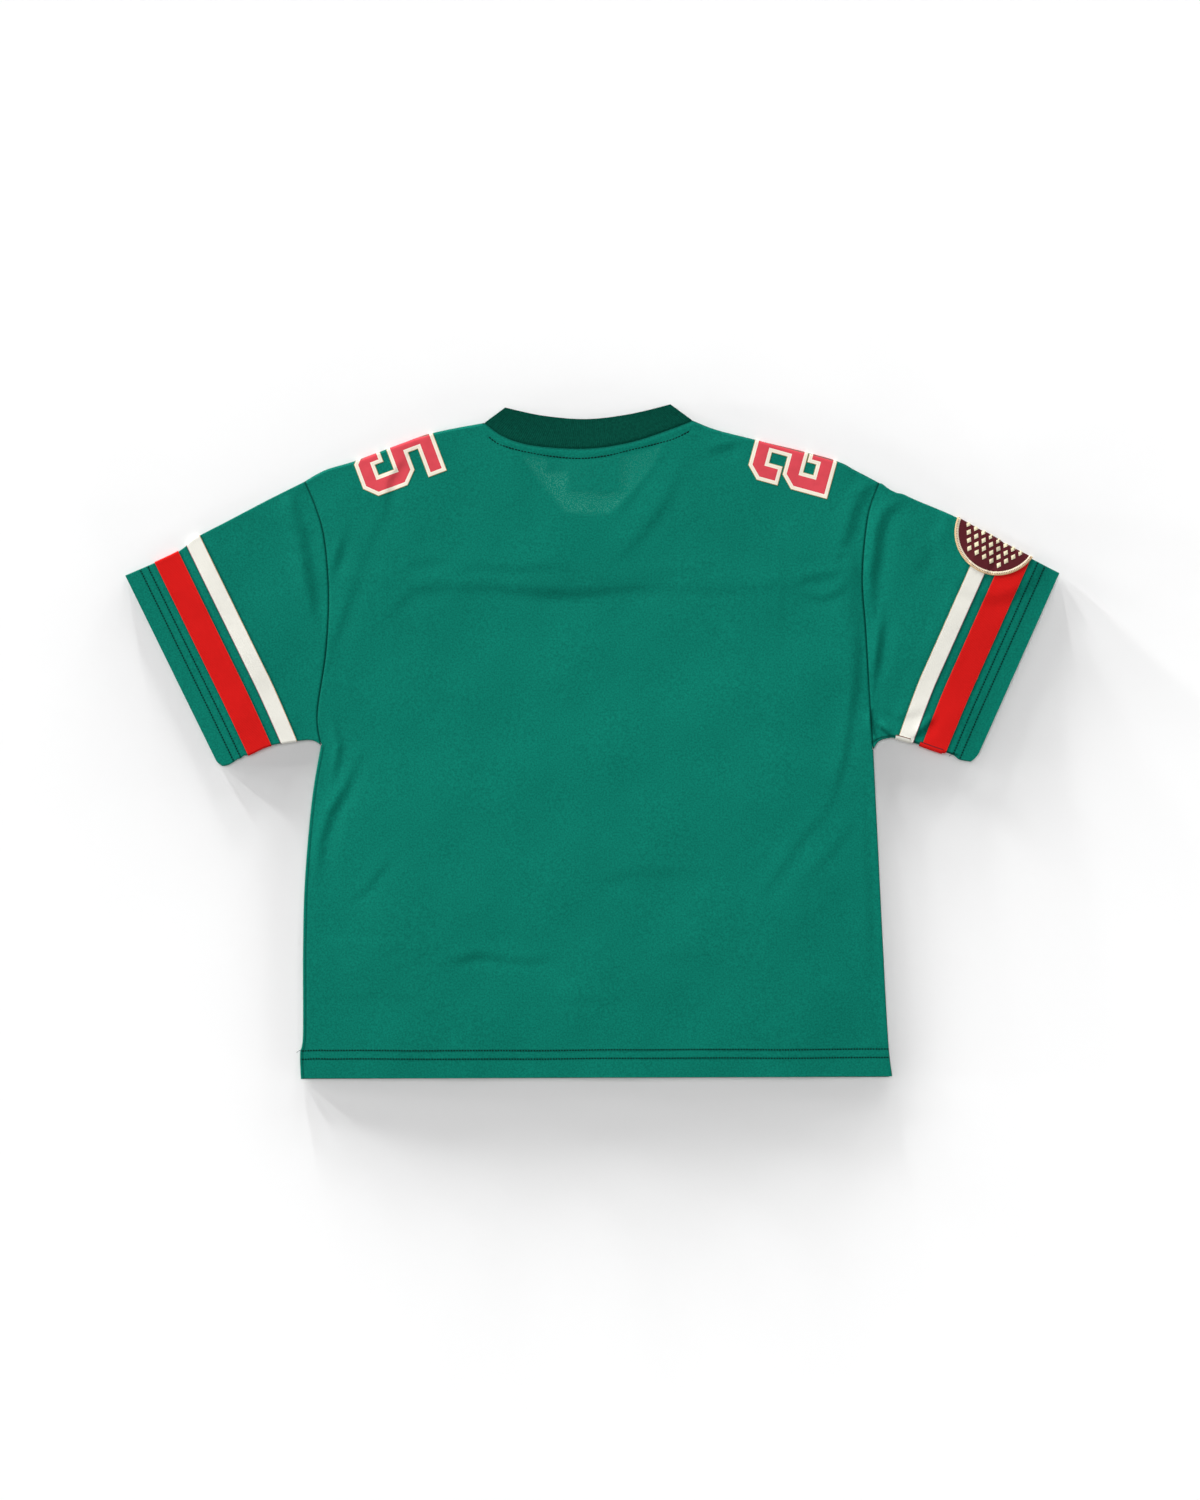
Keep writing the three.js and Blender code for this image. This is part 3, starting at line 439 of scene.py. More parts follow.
def numeral_lift(p):
    total = np.zeros(p.shape[:-1])
    height = NUMERAL["height"]
    for line, start in ((SHOULDER_LEFT, FIVE_ALONG), (SHOULDER_RIGHT, TWO_ALONG)):
        a, b = line.at(start / line.length), line.at((start + height) / line.length)
        way = unit(b - a)
        depth = (p - a) @ np.array([way[1], -way[0]])
        total += shelf((p - a) @ way, -4, height + 4, 14) * (1 - smooth((depth - 9) / 20))
    return total


def vee_side(p):
    """Distance inside the front V's edge, negative outside it."""
    gap, side, _ = polyline_distance(p, VEE_EDGE.points[::4])
    return gap * side


def neck_depth(p):
    """Distance below the back neck seam, negative above it."""
    gap, side, _ = polyline_distance(p, NECK.points[::4])
    return -gap * side


LABELS = {
    "neck_label": dict(x=(-18.7, 21.8), y=(194.6, 221.9), tilt=0.12),
    "size_tab": dict(x=(-35.9, -19.3), y=(210.2, 221.9), tilt=0.0),
    "care_label": dict(x=(-209, -136), y=(-197, -157), tilt=0.0),
}


def label_shelf(p, name, ramp):
    x, y = LABELS[name]["x"], LABELS[name]["y"]
    return shelf(p[..., 0], *x, ramp) * shelf(p[..., 1], *y, ramp)


def seam_shade(p):
    """How far a point lies in painted shade, from 0 to 1: dark seam lines, partly thread colour, and shade in
    stitch grooves, pleats, beside the tapes and over the yoke band.

    The number before a bump is its line's share of full dark, and the last one in it sets its width.
    """
    # Painted shade, with some thread colour, along the neck seam, its topstitch and the left side seam.
    neck = 0.75 * bump(neck_depth(p), 0.7) * (np.abs(p[..., 0]) < NECK_HALF)
    neck = neck + 0.3 * bump(TOPSTITCH.distance(p), 0.5)
    side = 0.5 * bump(SIDE_LEFT.distance(p) - SIDE_LIP - 0.1, 0.6) * (p[..., 1] < UNDERARM_Y)
    # Painted shade along the underarm seam and in the hem's and cuffs' stitch grooves.
    under = bump(UNDERARM_SEAM.distance(p), 0.8) + 0.5 * hem_zone(p)[1]
    # Painted shade in the valleys of the deepest pleats.
    for _, _, _, path in PLEATS[:SHADED_PLEATS]:
        under = under + 0.5 * bump(polyline_distance(p, np.array(path, float))[0], 1.1)
    # Painted shade over the yoke band, darkest a little left of the middle.
    yoke_band_shade = 0.15 * bump(p[..., 0] + 20, 85) * bump(p[..., 1] - 122, 17)
    # Painted shade, with some thread colour, along the armhole seams.
    seams = sum(bump(line.distance(p), 0.62) for line in ARMHOLES)
    # Painted shade: a thin dark line just outside both edges of each tape.
    for sleeve in SLEEVES:
        depth, along = sleeve.cuff_place(p)
        here = (along > -2) & (along < sleeve.width + 14) & (p[..., 0] * sleeve.away > SLEEVE_X)
        seams = seams + 0.45 * sum(bump(depth - low + 0.35, 0.5) + bump(depth - high - 0.35, 0.5)
                                   for low, high in TAPES.values()) * here
    return np.clip(seams + neck + side + under + yoke_band_shade, 0, 1)


def top_z(p):
    """Height of the upper layer's outer face."""
    clear = edge_distance(p) - ROLL
    zone, groove = hem_zone(p)
    low = LIE + trim_lift(p)
    z = low + 2 * ROLL + PUFF * smooth(clear / PUFF_REACH)
    z += PRESS * crease_height(p, CREASES) * smooth(clear / 7)
    z += PRESS * crease_height(p, PLEATS) * smooth(clear / 1.5)
    z += PRESS * wave_height(p) * smooth(clear / 30)
    z += 0.08 * zone - 0.05 * groove
    # The armhole seams and the left side seam sink in.
    z -= 0.8 * sum(bump(line.distance(p), 0.7) for line in ARMHOLES)
    z -= 0.4 * bump(SIDE_LEFT.distance(p) - SIDE_LIP - 0.1, 0.5) * (p[..., 1] < UNDERARM_Y)
    # The front's yoke seam and the labels press through from below; inside its V a layer is missing.
    z += 0.35 * bump(p[..., 1] - YOKE_Y - 1.5, 7.5) * smooth((205 - np.abs(p[..., 0])) / 12)
    z -= 0.2 * smooth(vee_side(p) / 5 + 0.5) * smooth(neck_depth(p) / 8)
    z += 0.35 * label_shelf(p, "neck_label", 3) + 0.2 * label_shelf(p, "care_label", 4)
    # The neck seam and its topstitch sink in, and the allowance makes a low ridge between them.
    depth = neck_depth(p)
    z += 0.2 * shelf(depth, 1.6, 5.2, 1.4) * (np.abs(p[..., 0]) < NECK_HALF)
    z -= 0.5 * bump(depth, 0.9) * (np.abs(p[..., 0]) < NECK_HALF) + 0.25 * bump(TOPSTITCH.distance(p), 0.8)
    # The lower layer holds it up: it levels off softly, a little over two cloths above that one's face.
    least = low + 2 * CLOTH + 0.25
    return least + 0.3 * np.logaddexp(0, (z - least) / 0.3)


# ---------------------------------------------------------------- points on the cloth
def on_top(p, h=0.0):
    """Point of the upper layer over p, h out from its outer face."""
    return np.concatenate([p, (top_z(p) + h)[..., None]], axis=-1)


def on_bottom(p, h=0.0):
    return np.concatenate([p, (bottom_z(p) - h)[..., None]], axis=-1)


def on_roll(edge, centre, turns, h=0.0):
    """Columns round a folded edge, one for each turn: -90 degrees is under it and 90 over it."""
    out = unit(edge - centre)[:, None]
    h = np.broadcast_to(h, edge.shape[:1])[:, None]
    low, high = bottom_z(centre)[:, None], top_z(centre)[:, None]
    p = centre[:, None] + out * ((ROLL + h) * np.cos(turns))[..., None]
    z = (low + high) / 2 + ((high - low) / 2 + h) * np.sin(turns)
    return np.concatenate([p, z[..., None]], axis=-1)


TURNS = np.radians(np.linspace(-90, 90, 9))


def across_edge(edge, inward, b, h):
    """Points at unrolled distances b across a folded edge: over zero on top, under zero beneath."""
    h = np.broadcast_to(h, b.shape)
    centre = edge + inward * ROLL
    quarter = ROLL * math.pi / 2
    flat = centre + inward * np.maximum(np.abs(b) - quarter, 0)[..., None]
    low, high = bottom_z(centre), top_z(centre)
    turn = np.clip(b / ROLL, -math.pi / 2, math.pi / 2)
    rolled = (low + high) / 2 + ((high - low) / 2 + h) * np.sin(turn)
    z = np.where(b > quarter, top_z(flat) + h, np.where(b < -quarter, bottom_z(flat) - h, rolled))
    rolling = (np.abs(b) <= quarter)[..., None]
    p = np.where(rolling, centre - inward * ((ROLL + h) * np.cos(turn))[..., None], flat)
    return np.concatenate([p, z[..., None]], axis=-1)


def ring_points(upper, lower, h=0.0):
    """A tube of cloth pressed flat: first fold, upper layer, last fold, lower layer, back to the first."""
    first, last = upper[:, 0], upper[:, -1]
    level = np.broadcast_to(h, first.shape[:1])
    return np.concatenate([
        on_roll(first, first + unit(upper[:, 1] - first) * ROLL, TURNS, level),
        on_top(upper[:, 1:-1], level[:, None]),
        on_roll(last, last + unit(upper[:, -2] - last) * ROLL, TURNS[::-1], level),
        on_bottom(lower[:, -2:0:-1], level[:, None]),
    ], axis=1)


# ---------------------------------------------------------------- closed meshes
def spaced(length, step, start=(0,), end=(0,)):
    """Shares of a length: the listed distances from its two ends, and even steps between."""
    low, high = start[-1], length - end[-1]
    middle = np.linspace(low, high, max(1, round((high - low) / step)) + 1)
    return np.concatenate([start[:-1], middle, length - np.array(end[:-1])[::-1]]) / length


def cells(rows, columns, ring=False):
    """Corner numbers of a grid's cells, row by row."""
    j, i = np.meshgrid(np.arange(rows - 1), np.arange(columns if ring else columns - 1), indexing="ij")
    right = (i + 1) % columns
    low, high = j * columns, (j + 1) * columns
    return np.stack([low + i, low + right, high + right, high + i], axis=-1)


def add(name, data):
    thing = bpy.data.objects.new(name, data)
    bpy.context.scene.collection.objects.link(thing)
    return thing


def make(name, points, faces, looks, regions=None, creased=None, fields=None):
    """A mesh object from points in millimetres; regions says which of the looks each face has."""
    mesh = bpy.data.meshes.new(name)
    mesh.from_pydata((np.asarray(points) * MM).tolist(), [], faces)
    for look in looks:
        mesh.materials.append(look)
    mesh.polygons.foreach_set("use_smooth", np.ones(len(mesh.polygons), bool))
    if regions is not None:
        mesh.polygons.foreach_set("material_index", np.asarray(regions, np.int32))
    if creased is not None:
        ends = np.empty(2 * len(mesh.edges), np.int32)
        mesh.edges.foreach_get("vertices", ends)
        ends = np.sort(ends.reshape(-1, 2), axis=1) @ [len(points), 1]
        sharp = np.isin(ends, np.sort(creased, axis=1) @ [len(points), 1])
        mesh.attributes.new("sharp_edge", "BOOLEAN", "EDGE").data.foreach_set("value", sharp)
    for field, values in (fields or {}).items():
        mesh.attributes.new(field, "FLOAT", "POINT").data.foreach_set("value", values.astype(np.float32))
    mesh.validate()
    mesh.update()
    return add(name, mesh)


def shell(name, outer, inner, faces, looks, regions=None, fields=None):
    """A thin closed piece from its outer and inner faces; the rim between them is made here."""
    sides = faces.shape[-1]
    used, faces = np.unique(faces.reshape(-1), return_inverse=True)
    faces = faces.reshape(-1, sides)
    outer, inner = outer.reshape(-1, 3)[used], inner.reshape(-1, 3)[used]
    a, b, c = (outer[faces[:, k]] for k in range(3))
    facing = np.einsum("ij,ij->i", np.cross(b - a, c - a), a - inner[faces[:, 0]]).sum()
    if facing < 0:
        faces = faces[:, ::-1]
    n = len(used)
    heads = np.stack([faces, np.roll(faces, -1, axis=1)], axis=-1).reshape(-1, 2)
    rim = heads[~np.isin(heads @ [n, 1], heads @ [1, n])]
    walls = np.stack([rim[:, 1], rim[:, 0], rim[:, 0] + n, rim[:, 1] + n], axis=1)
    every = [*faces.tolist(), *(faces[:, ::-1] + n).tolist(), *walls.tolist()]
    if regions is not None:
        regions = np.concatenate([regions, np.zeros(len(every) - len(regions), int)])
    fields = {field: np.tile(values.reshape(-1)[used], 2) for field, values in (fields or {}).items()}
    # Jersey pieces carry the painted seam shade at each point.
    if JERSEY in looks:
        fields["seam"] = np.tile(seam_shade(outer[:, :2]), 2)
    creased = np.vstack([rim, rim + n])
    return make(name, np.vstack([outer, inner]), every, looks, regions, creased, fields)


def dots(where, along, up, size, sides=6):
    """Small rounded beads, one for each row of where: size is length, width and height."""
    stations = np.array([-0.8, 0.0, 0.8])
    turn = np.linspace(0, 2 * np.pi, sides, endpoint=False)
    local = [(-1, 0, 0)]
    for t in stations:
        radius = math.sqrt(1 - 0.8 * t * t)
        local += [(t, radius * math.cos(a), radius * math.sin(a)) for a in turn]
    local = np.array([*local, (1, 0, 0)]) * np.asarray(size) / 2
    across = np.cross(up, along)
    axes = np.stack([along, across, up], axis=1)
    points = where[:, None] + np.einsum("vk,nkx->nvx", local, axes)
    faces = []
    last = 1 + (len(stations) - 1) * sides
    for k in range(sides):
        right = (k + 1) % sides
        faces.append((0, 1 + right, 1 + k, 1 + k))
        for low in range(1, last, sides):
            faces.append((low + k, low + right, low + sides + right, low + sides + k))
        faces.append((last + k, last + right, last + sides, last + sides))
    count = len(local)
    every = (np.array(faces)[None] + np.arange(len(where))[:, None, None] * count).reshape(-1, 4)
    return points.reshape(-1, 3), [tuple(dict.fromkeys(face)) for face in every.tolist()]


rng = np.random.default_rng(7)


def stitch_row(path, place, length, pitch, width, height, wander=0.12):
    """Threads lying along a path on the cloth; place(p) gives points of its surface."""
    steps = run_lengths(path)
    at = np.arange(pitch / 2, steps[-1], pitch)
    at = at + rng.uniform(-wander, wander, len(at))
    centre, after, before = (
        np.stack([np.interp(at + off, steps, path[:, k]) for k in (0, 1)], axis=-1) for off in (0, 0.5, -0.5))
    run = unit(after - before)
    lean = rng.uniform(-0.09, 0.09, len(at))
    run = np.stack([run[:, 0] - lean * run[:, 1], run[:, 1] + lean * run[:, 0]], axis=-1)
    start, end = place(centre - run * length / 2), place(centre + run * length / 2)
    along = unit(end - start)
    up = unit(np.cross(along, np.cross(np.array([0.0, 0.0, 1.0]), along)))
    return dots((start + end) / 2, along, up, (length, width, height))


# ---------------------------------------------------------------- materials
def srgb(red, green, blue):
    share = np.array([red, green, blue]) / 255
    linear = np.where(share <= 0.04045, share / 12.92, ((share + 0.055) / 1.055) ** 2.4)
    return (*linear.tolist(), 1.0)


class Look:
    """A procedural material, in metres of the garment's own axes."""

    def __init__(self, name, roughness, specular=0.1, sheen=0.0, sheen_roughness=0.5, tint=(1, 1, 1, 1)):
        self.made = bpy.data.materials.new(name)
        self.made.use_nodes = True
        self.tree = self.made.node_tree
        self.shader = self.tree.nodes["Principled BSDF"]
        self.shader.inputs["Roughness"].default_value = roughness
        self.shader.inputs["Specular IOR Level"].default_value = specular
        self.shader.inputs["Sheen Weight"].default_value = sheen
        self.shader.inputs["Sheen Roughness"].default_value = sheen_roughness
        self.shader.inputs["Sheen Tint"].default_value = tint
        self.shader.inputs["Specular Tint"].default_value = tint
        self.place = self.node("ShaderNodeTexCoord").outputs["Object"]

    def node(self, kind, inputs=None, **settings):
        made = self.tree.nodes.new(kind)
        for key, value in settings.items():
            setattr(made, key, value)
        for key, value in (inputs or {}).items():
            if isinstance(value, bpy.types.NodeSocket):
                self.tree.links.new(value, made.inputs[key])
            else:
                made.inputs[key].default_value = value
        return made

    def turned(self, degrees):
        """The garment's axes turned about Z."""
        turn = (0, 0, math.radians(degrees))
        return self.node("ShaderNodeMapping", {"Vector": self.place, "Rotation": turn}).outputs[0]

    def noise(self, size, detail, rough=0.55):
        return self.node("ShaderNodeTexNoise", {
            "Vector": self.place, "Scale": 1 / size, "Detail": detail, "Roughness": rough,
        }).outputs["Fac"]

    def bands(self, pitch, where, distortion):
        # The wave texture repeats every 0.314 of its scaled unit.
        return self.node("ShaderNodeTexWave", {
            "Vector": where, "Scale": 0.314159 / pitch, "Distortion": distortion, "Detail": 1.0,
        }, wave_type="BANDS", bands_direction="X", wave_profile="SIN").outputs["Fac"]

    def range(self, value, low, high, start=0.0, end=1.0):
        return self.node("ShaderNodeMapRange", {
            "Value": value, "From Min": start, "From Max": end, "To Min": low, "To Max": high,
        }).outputs[0]

    def field(self, name):
        """A value that each point of the mesh carries; 0 where it has none."""
        return self.node("ShaderNodeAttribute", attribute_name=name).outputs["Fac"]

    def product(self, a, b):
        return self.node("ShaderNodeMath", {0: a, 1: b}, operation="MULTIPLY").outputs[0]

    def blend(self, share, a, b):
        made = self.node("ShaderNodeMix", data_type="RGBA")
        for key, value in (("Factor", share), ("A", a), ("B", b)):
            socket = next(i for i in made.inputs if i.name == key and i.enabled)
            if isinstance(value, bpy.types.NodeSocket):
                self.tree.links.new(value, socket)
            else:
                socket.default_value = value
        return next(o for o in made.outputs if o.enabled)

    def mottled(self, noise, low, high):
        """Two colours shared out by a noise, whose values keep near its middle."""
        return self.blend(self.range(noise, 0, 1, 0.3, 0.7), low, high)

    def colour(self, value):
        self.tree.links.new(value, self.shader.inputs["Base Color"])
        return self

    def relief(self, height, depth, strength, below=None):
        """Bump from a height of 0 to 1 over a depth in metres."""
        made = self.node("ShaderNodeBump", {"Height": height, "Distance": depth, "Strength": strength})
        if below is not None:
            self.tree.links.new(below, made.inputs["Normal"])
        self.tree.links.new(made.outputs[0], self.shader.inputs["Normal"])
        return made.outputs[0]


def shade(colour, factor):
    return (*(min(1.0, c * factor) for c in colour[:3]), 1.0)


def full_hue(colour):
    """The same hue at full strength, for a gloss that doesn't wash the colour out."""
    return (*(c / max(colour[:3]) for c in colour[:3]), 1.0)


WALE, COURSE = 0.00085, 0.0007       # pitch of the knit's columns and rows, in metres


def jersey(name, colour):
    """Smooth fine knit: columns of small stitches, a fine mottle, dark seams partly of painted shade, painted
    see-through light and a low soft sheen.
    """
    look = Look(name, 0.6, specular=0.2, sheen=0.05, sheen_roughness=0.4, tint=srgb(0, 235, 215))
    wales = look.bands(WALE, look.turned(0), 0.8)
    courses = look.bands(COURSE, look.turned(90), 0.8)
    stitches = look.product(wales, look.range(courses, 0.45, 1.0))
    mottle = look.noise(0.0013, 2.0)
    broad = look.noise(0.16, 2.0)
    base = look.mottled(mottle, shade(colour, 0.77), shade(colour, 1.25))
    base = look.blend(look.range(broad, 0, 0.08, 0.35, 0.65), base, shade(colour, 0.5))
    base = look.blend(look.range(stitches, 0.2, 0.0), base, shade(colour, 0.55))
    # Painted light: inside the V the colour turns lighter and speckled, as the floor's light through the
    # knit.
    lit_specks = look.range(look.noise(0.0008, 1.0, rough=0.4), 0, 1, 0.5, 0.62)
    base = look.blend(look.field("painted_see_through_light"), base, look.blend(lit_specks, colour, srgb(52, 138, 120)))
    # Painted shade: the seam field darkens the colour towards near black along seams, stitch grooves, pleats,
    # tape edges and the yoke band.
    look.colour(look.blend(look.range(look.field("seam"), 0, 0.85), base, srgb(3, 34, 28)))
    fine = look.relief(stitches, 0.0001, 0.4)
    look.relief(mottle, 0.00008, 0.5, below=fine)
    return look.made


def rib(name, colour):
    look = Look(name, 0.9, specular=0.05, tint=srgb(20, 220, 190))
    mottle = look.noise(0.0016, 3.0)
    look.colour(look.mottled(mottle, shade(colour, 0.8), shade(colour, 1.2)))
    look.relief(look.noise(0.0008, 2.0), 0.00025, 0.6)
    return look.made


def woven(name, colour, degrees, pitch, depth=0.00012, light=1.12, dark=0.88):
    """Narrow woven tape with a fine diagonal rib."""
    look = Look(name, 0.6, specular=0.1, tint=full_hue(colour))
    ribs = look.bands(pitch, look.turned(degrees), 0.25)
    mottle = look.noise(0.0045, 4.0)
    base = look.blend(ribs, shade(colour, dark), shade(colour, light))
    look.colour(look.blend(look.range(mottle, 0.0, 0.35, 0.35, 0.75), base, shade(colour, dark)))
    look.relief(ribs, depth, 0.6)
    return look.made


def film(name, colour):
    """Smooth printed film that shows a little of the knit under it."""
    look = Look(name, 0.42, specular=0.2, tint=full_hue(colour))
    look.colour(look.mottled(look.noise(0.007, 3.0), shade(colour, 0.95), shade(colour, 1.05)))
    wales = look.bands(WALE, look.turned(0), 0.4)
    courses = look.bands(COURSE, look.turned(90), 0.5)
    look.relief(look.product(wales, courses), 0.00003, 0.4)
    return look.made


def thread(name, colour):
    look = Look(name, 0.55, specular=0.2, tint=full_hue(colour))
    twist = look.bands(0.0005, look.turned(38), 0.3)
    look.colour(look.blend(twist, shade(colour, 0.8), shade(colour, 1.15)))
    look.relief(twist, 0.00008, 0.6)
    return look.made


JERSEY = jersey("jersey", srgb(14, 119, 101))
RIB = rib("rib", srgb(10, 75, 61))
RED_TAPE = woven("red_tape", srgb(214, 30, 28), 62, 0.0011)
RED_EDGE = woven("red_tape_edge", srgb(232, 38, 32), 20, 0.0008)
WHITE_TAPE = woven("white_tape", srgb(241, 239, 229), 62, 0.0009, light=1.03, dark=0.95)
TAN_EDGE = woven("white_tape_tan_edge", srgb(196, 168, 128), 20, 0.0008)
MAUVE_EDGE = woven("white_tape_mauve_edge", srgb(150, 110, 120), 20, 0.0008)
FILM_CREAM = film("numeral_cream", srgb(250, 243, 225))
FILM_SHADE = film("numeral_cream_line", srgb(240, 228, 204))
FILM_TAN = film("numeral_tan", srgb(196, 166, 118))
FILM_RED = film("numeral_red", srgb(223, 78, 89))
PATCH_CLOTH = woven("patch_cloth", srgb(92, 37, 43), 45, 0.0008, depth=0.0002)
BORDER_TAN = thread("border_tan", srgb(228, 196, 152))
BORDER_CREAM = thread("border_cream", srgb(243, 226, 198))
BORDER_DARK = thread("border_dark", srgb(120, 82, 74))
MOTIF = thread("motif_thread", srgb(244, 232, 196))
DARK_THREAD = thread("seam_thread", srgb(4, 30, 26))
LABEL = woven("label", srgb(226, 224, 214), 0, 0.0006, depth=0.00006, light=1.02, dark=0.97)


def finish(thing, slot, *nodes):
    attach(thing, "root")
    if nodes:
        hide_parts(*nodes)
    return thing


# ---------------------------------------------------------------- back panel, rolled over each shoulder
NECK_LEFT, NECK_RIGHT = 9 / 26, 17 / 26      # where the shoulders meet the neck, across the panel
NECK_COLUMNS = 61
SHOULDER_WIDTH = 157.0                       # from the side of the panel to the neck
YOKE_ROWS = 26
EDGE = (0, 0.35, 0.8, 1.4, 2.3, 3.8, 5.9)    # fine steps beside a seam
FOLD_EDGE = (0, 2.0, 3.6, 5.4, 7.4)          # steps beside a folded edge
# Rows up from the hem, closest at its edge, its two stitch rows and its fold.
HEM_STEPS = (0, 0.5, 1.5, 4, 8, 12, 13.6, 14.3, 14.8, 15.3, 16, 18.2, 20.1, 20.9, 21.4, 21.9, 22.7, 24.6)


def lip_width(share):
    least = ROLL + SEAM / 2
    return least + (SIDE_LIP - least) * np.clip((1 - share) / 0.1, 0, 1)


def beside(line, share, inset):
    way = -np.sign(line.points[0, 0])
    return line.at(share) + np.stack([way * inset, 0 * inset], axis=-1)


def yoke_share(armhole):
    """Share of an armhole's length at the yoke seam."""
    share = np.linspace(0, 1, 2001)
    return np.interp(YOKE_Y, armhole.at(share)[:, 1], share)


def armhole_rows(armhole, low_rows, step):
    seam = yoke_share(armhole)
    upper = seam + (1 - seam) * spaced((1 - seam) * armhole.length, step, end=FOLD_EDGE)
    return np.linspace(0, seam, low_rows), upper


def body_edges(step, low_rows):
    side = spaced(SIDE_LEFT.length, step, start=HEM_STEPS)
    low_left, high_left = armhole_rows(ARMHOLE_LEFT, low_rows, step)
    low_right, high_right = armhole_rows(ARMHOLE_RIGHT, low_rows, step)
    high_right = yoke_share(ARMHOLE_RIGHT) + (1 - yoke_share(ARMHOLE_RIGHT)) * (
        (high_left - high_left[0]) / (1 - high_left[0]))
    return side, (low_left, high_left), (low_right, high_right)


SIDE, ARM_LEFT, ARM_RIGHT = body_edges(2.6, 50)
SIDE_COUNT = len(SIDE)


def back_panel():
    s = np.concatenate([
        NECK_LEFT * spaced(SHOULDER_WIDTH, 2.5, start=EDGE)[:-1],
        np.linspace(NECK_LEFT, NECK_RIGHT, NECK_COLUMNS + 1)[:-1],
        NECK_RIGHT + (1 - NECK_RIGHT) * spaced(SHOULDER_WIDTH, 2.5, end=EDGE),
    ])
    left_arm = np.concatenate([ARM_LEFT[0][1:], ARM_LEFT[1][1:]])
    right_arm = np.concatenate([ARM_RIGHT[0][1:], ARM_RIGHT[1][1:]])
    left = np.vstack([beside(SIDE_LEFT, SIDE, lip_width(SIDE) + SEAM), ARMHOLE_LEFT.at(left_arm)])
    right = np.vstack([beside(SIDE_RIGHT, SIDE, ROLL + 0 * SIDE), ARMHOLE_RIGHT.at(right_arm)])
    r = run_lengths(left)
    r = r / r[-1]
    on_left, on_right = s <= NECK_LEFT + 1e-9, s >= NECK_RIGHT - 1e-9
    top = NECK.at((s - NECK_LEFT) / (NECK_RIGHT - NECK_LEFT))
    top[on_left] = SHOULDER_LEFT.at(s[on_left] / NECK_LEFT)
    top[on_right] = SHOULDER_RIGHT.at((s[on_right] - NECK_RIGHT) / (1 - NECK_RIGHT))
    flat = coons(mix(left[0], right[0], s[:, None]), top, left, right, s, r)
    rows, columns = flat.shape[:2]
    turns = TURNS[::-1][1:]
    shape = (rows + len(turns) + YOKE_ROWS, columns + len(turns) + 1)
    thickness = CLOTH + HEM_EXTRA * hem_zone(flat)[0]
    centre = flat[-1] + unit(flat[-2] - flat[-1]) * ROLL

    down = np.linspace(0, 1, YOKE_ROWS + 1)
    yokes = np.zeros((YOKE_ROWS + 1, columns, 2))
    for mask, armhole, way in ((on_left, ARMHOLE_LEFT, -1), (on_right, ARMHOLE_RIGHT, 1)):
        own = centre[mask] if way < 0 else centre[mask][::-1]
        seam = yoke_share(armhole)
        outer = armhole.at(1 + (seam - 1) * down)
        outer[0] = own[0]
        foot = VEE_POINT + np.array([way * 0.3, 0])
        share = run_lengths(own)
        share = share / share[-1]
        low, inner = mix(outer[-1], foot, share[:, None]), mix(own[-1], foot, down[:, None])
        half = coons(own, low, outer, inner, share, down)
        yokes[:, mask] = half if way < 0 else half[:, ::-1]

    def layer(inner):
        h = -thickness if inner else np.zeros(flat.shape[:2])
        grid = np.zeros((*shape, 3))
        grid[:rows, :columns] = on_top(flat, h)
        edge = SIDE_RIGHT.at(SIDE)
        side_centre = beside(SIDE_RIGHT, SIDE, ROLL + 0 * SIDE)
        grid[:SIDE_COUNT, columns:-1] = on_roll(edge, side_centre, turns, h[:SIDE_COUNT, -1])
        lip = beside(SIDE_RIGHT, SIDE, lip_width(SIDE))
        grid[:SIDE_COUNT, -1] = on_bottom(lip, h[:SIDE_COUNT, -1])
        over = on_roll(flat[-1], centre, turns, h[-1])
        grid[rows:rows + len(turns), :columns] = over.transpose(1, 0, 2)
        grid[rows + len(turns):, :columns] = on_bottom(yokes[1:], h[-1][None])
        return grid

    faces = cells(*shape)
    j, i = np.meshgrid(np.arange(shape[0] - 1), np.arange(shape[1] - 1), indexing="ij")
    shoulder = (i < on_left.sum() - 1) | ((i >= columns - on_right.sum()) & (i < columns - 1))
    kept = ((i < columns - 1) & (j < rows - 1)) | ((i >= columns - 1) & (j < SIDE_COUNT - 1))
    kept |= (j >= rows - 1) & shoulder
    # The back's colour is painted lighter and speckled inside the V, where no front lies under it, as the
    # floor's light
    # showing through the knit: most along the V's left side and at its foot, and hardly over the labels,
    # which shade it.
    field = np.zeros(shape)
    deep = neck_depth(flat)
    opening = smooth(vee_side(flat) / 2.5 + 0.5) * smooth((deep - 8.5) / 2)
    left_branch = np.exp(-((flat[..., 0] + 26) / 26) ** 2)
    strength = 0.5 + 0.5 * np.maximum(left_branch, np.exp(-((flat[..., 1] - 184) / 9) ** 2))
    covered = np.maximum(label_shelf(flat, "neck_label", 1.5), label_shelf(flat, "size_tab", 1.5))
    field[:rows, :columns] = np.clip(opening * strength * (1 - 0.9 * covered), 0, 1)
    return shell("back", layer(False), layer(True), faces[kept], [JERSEY], fields={"painted_see_through_light": field})


back = finish(back_panel(), "jersey", "back_panel")


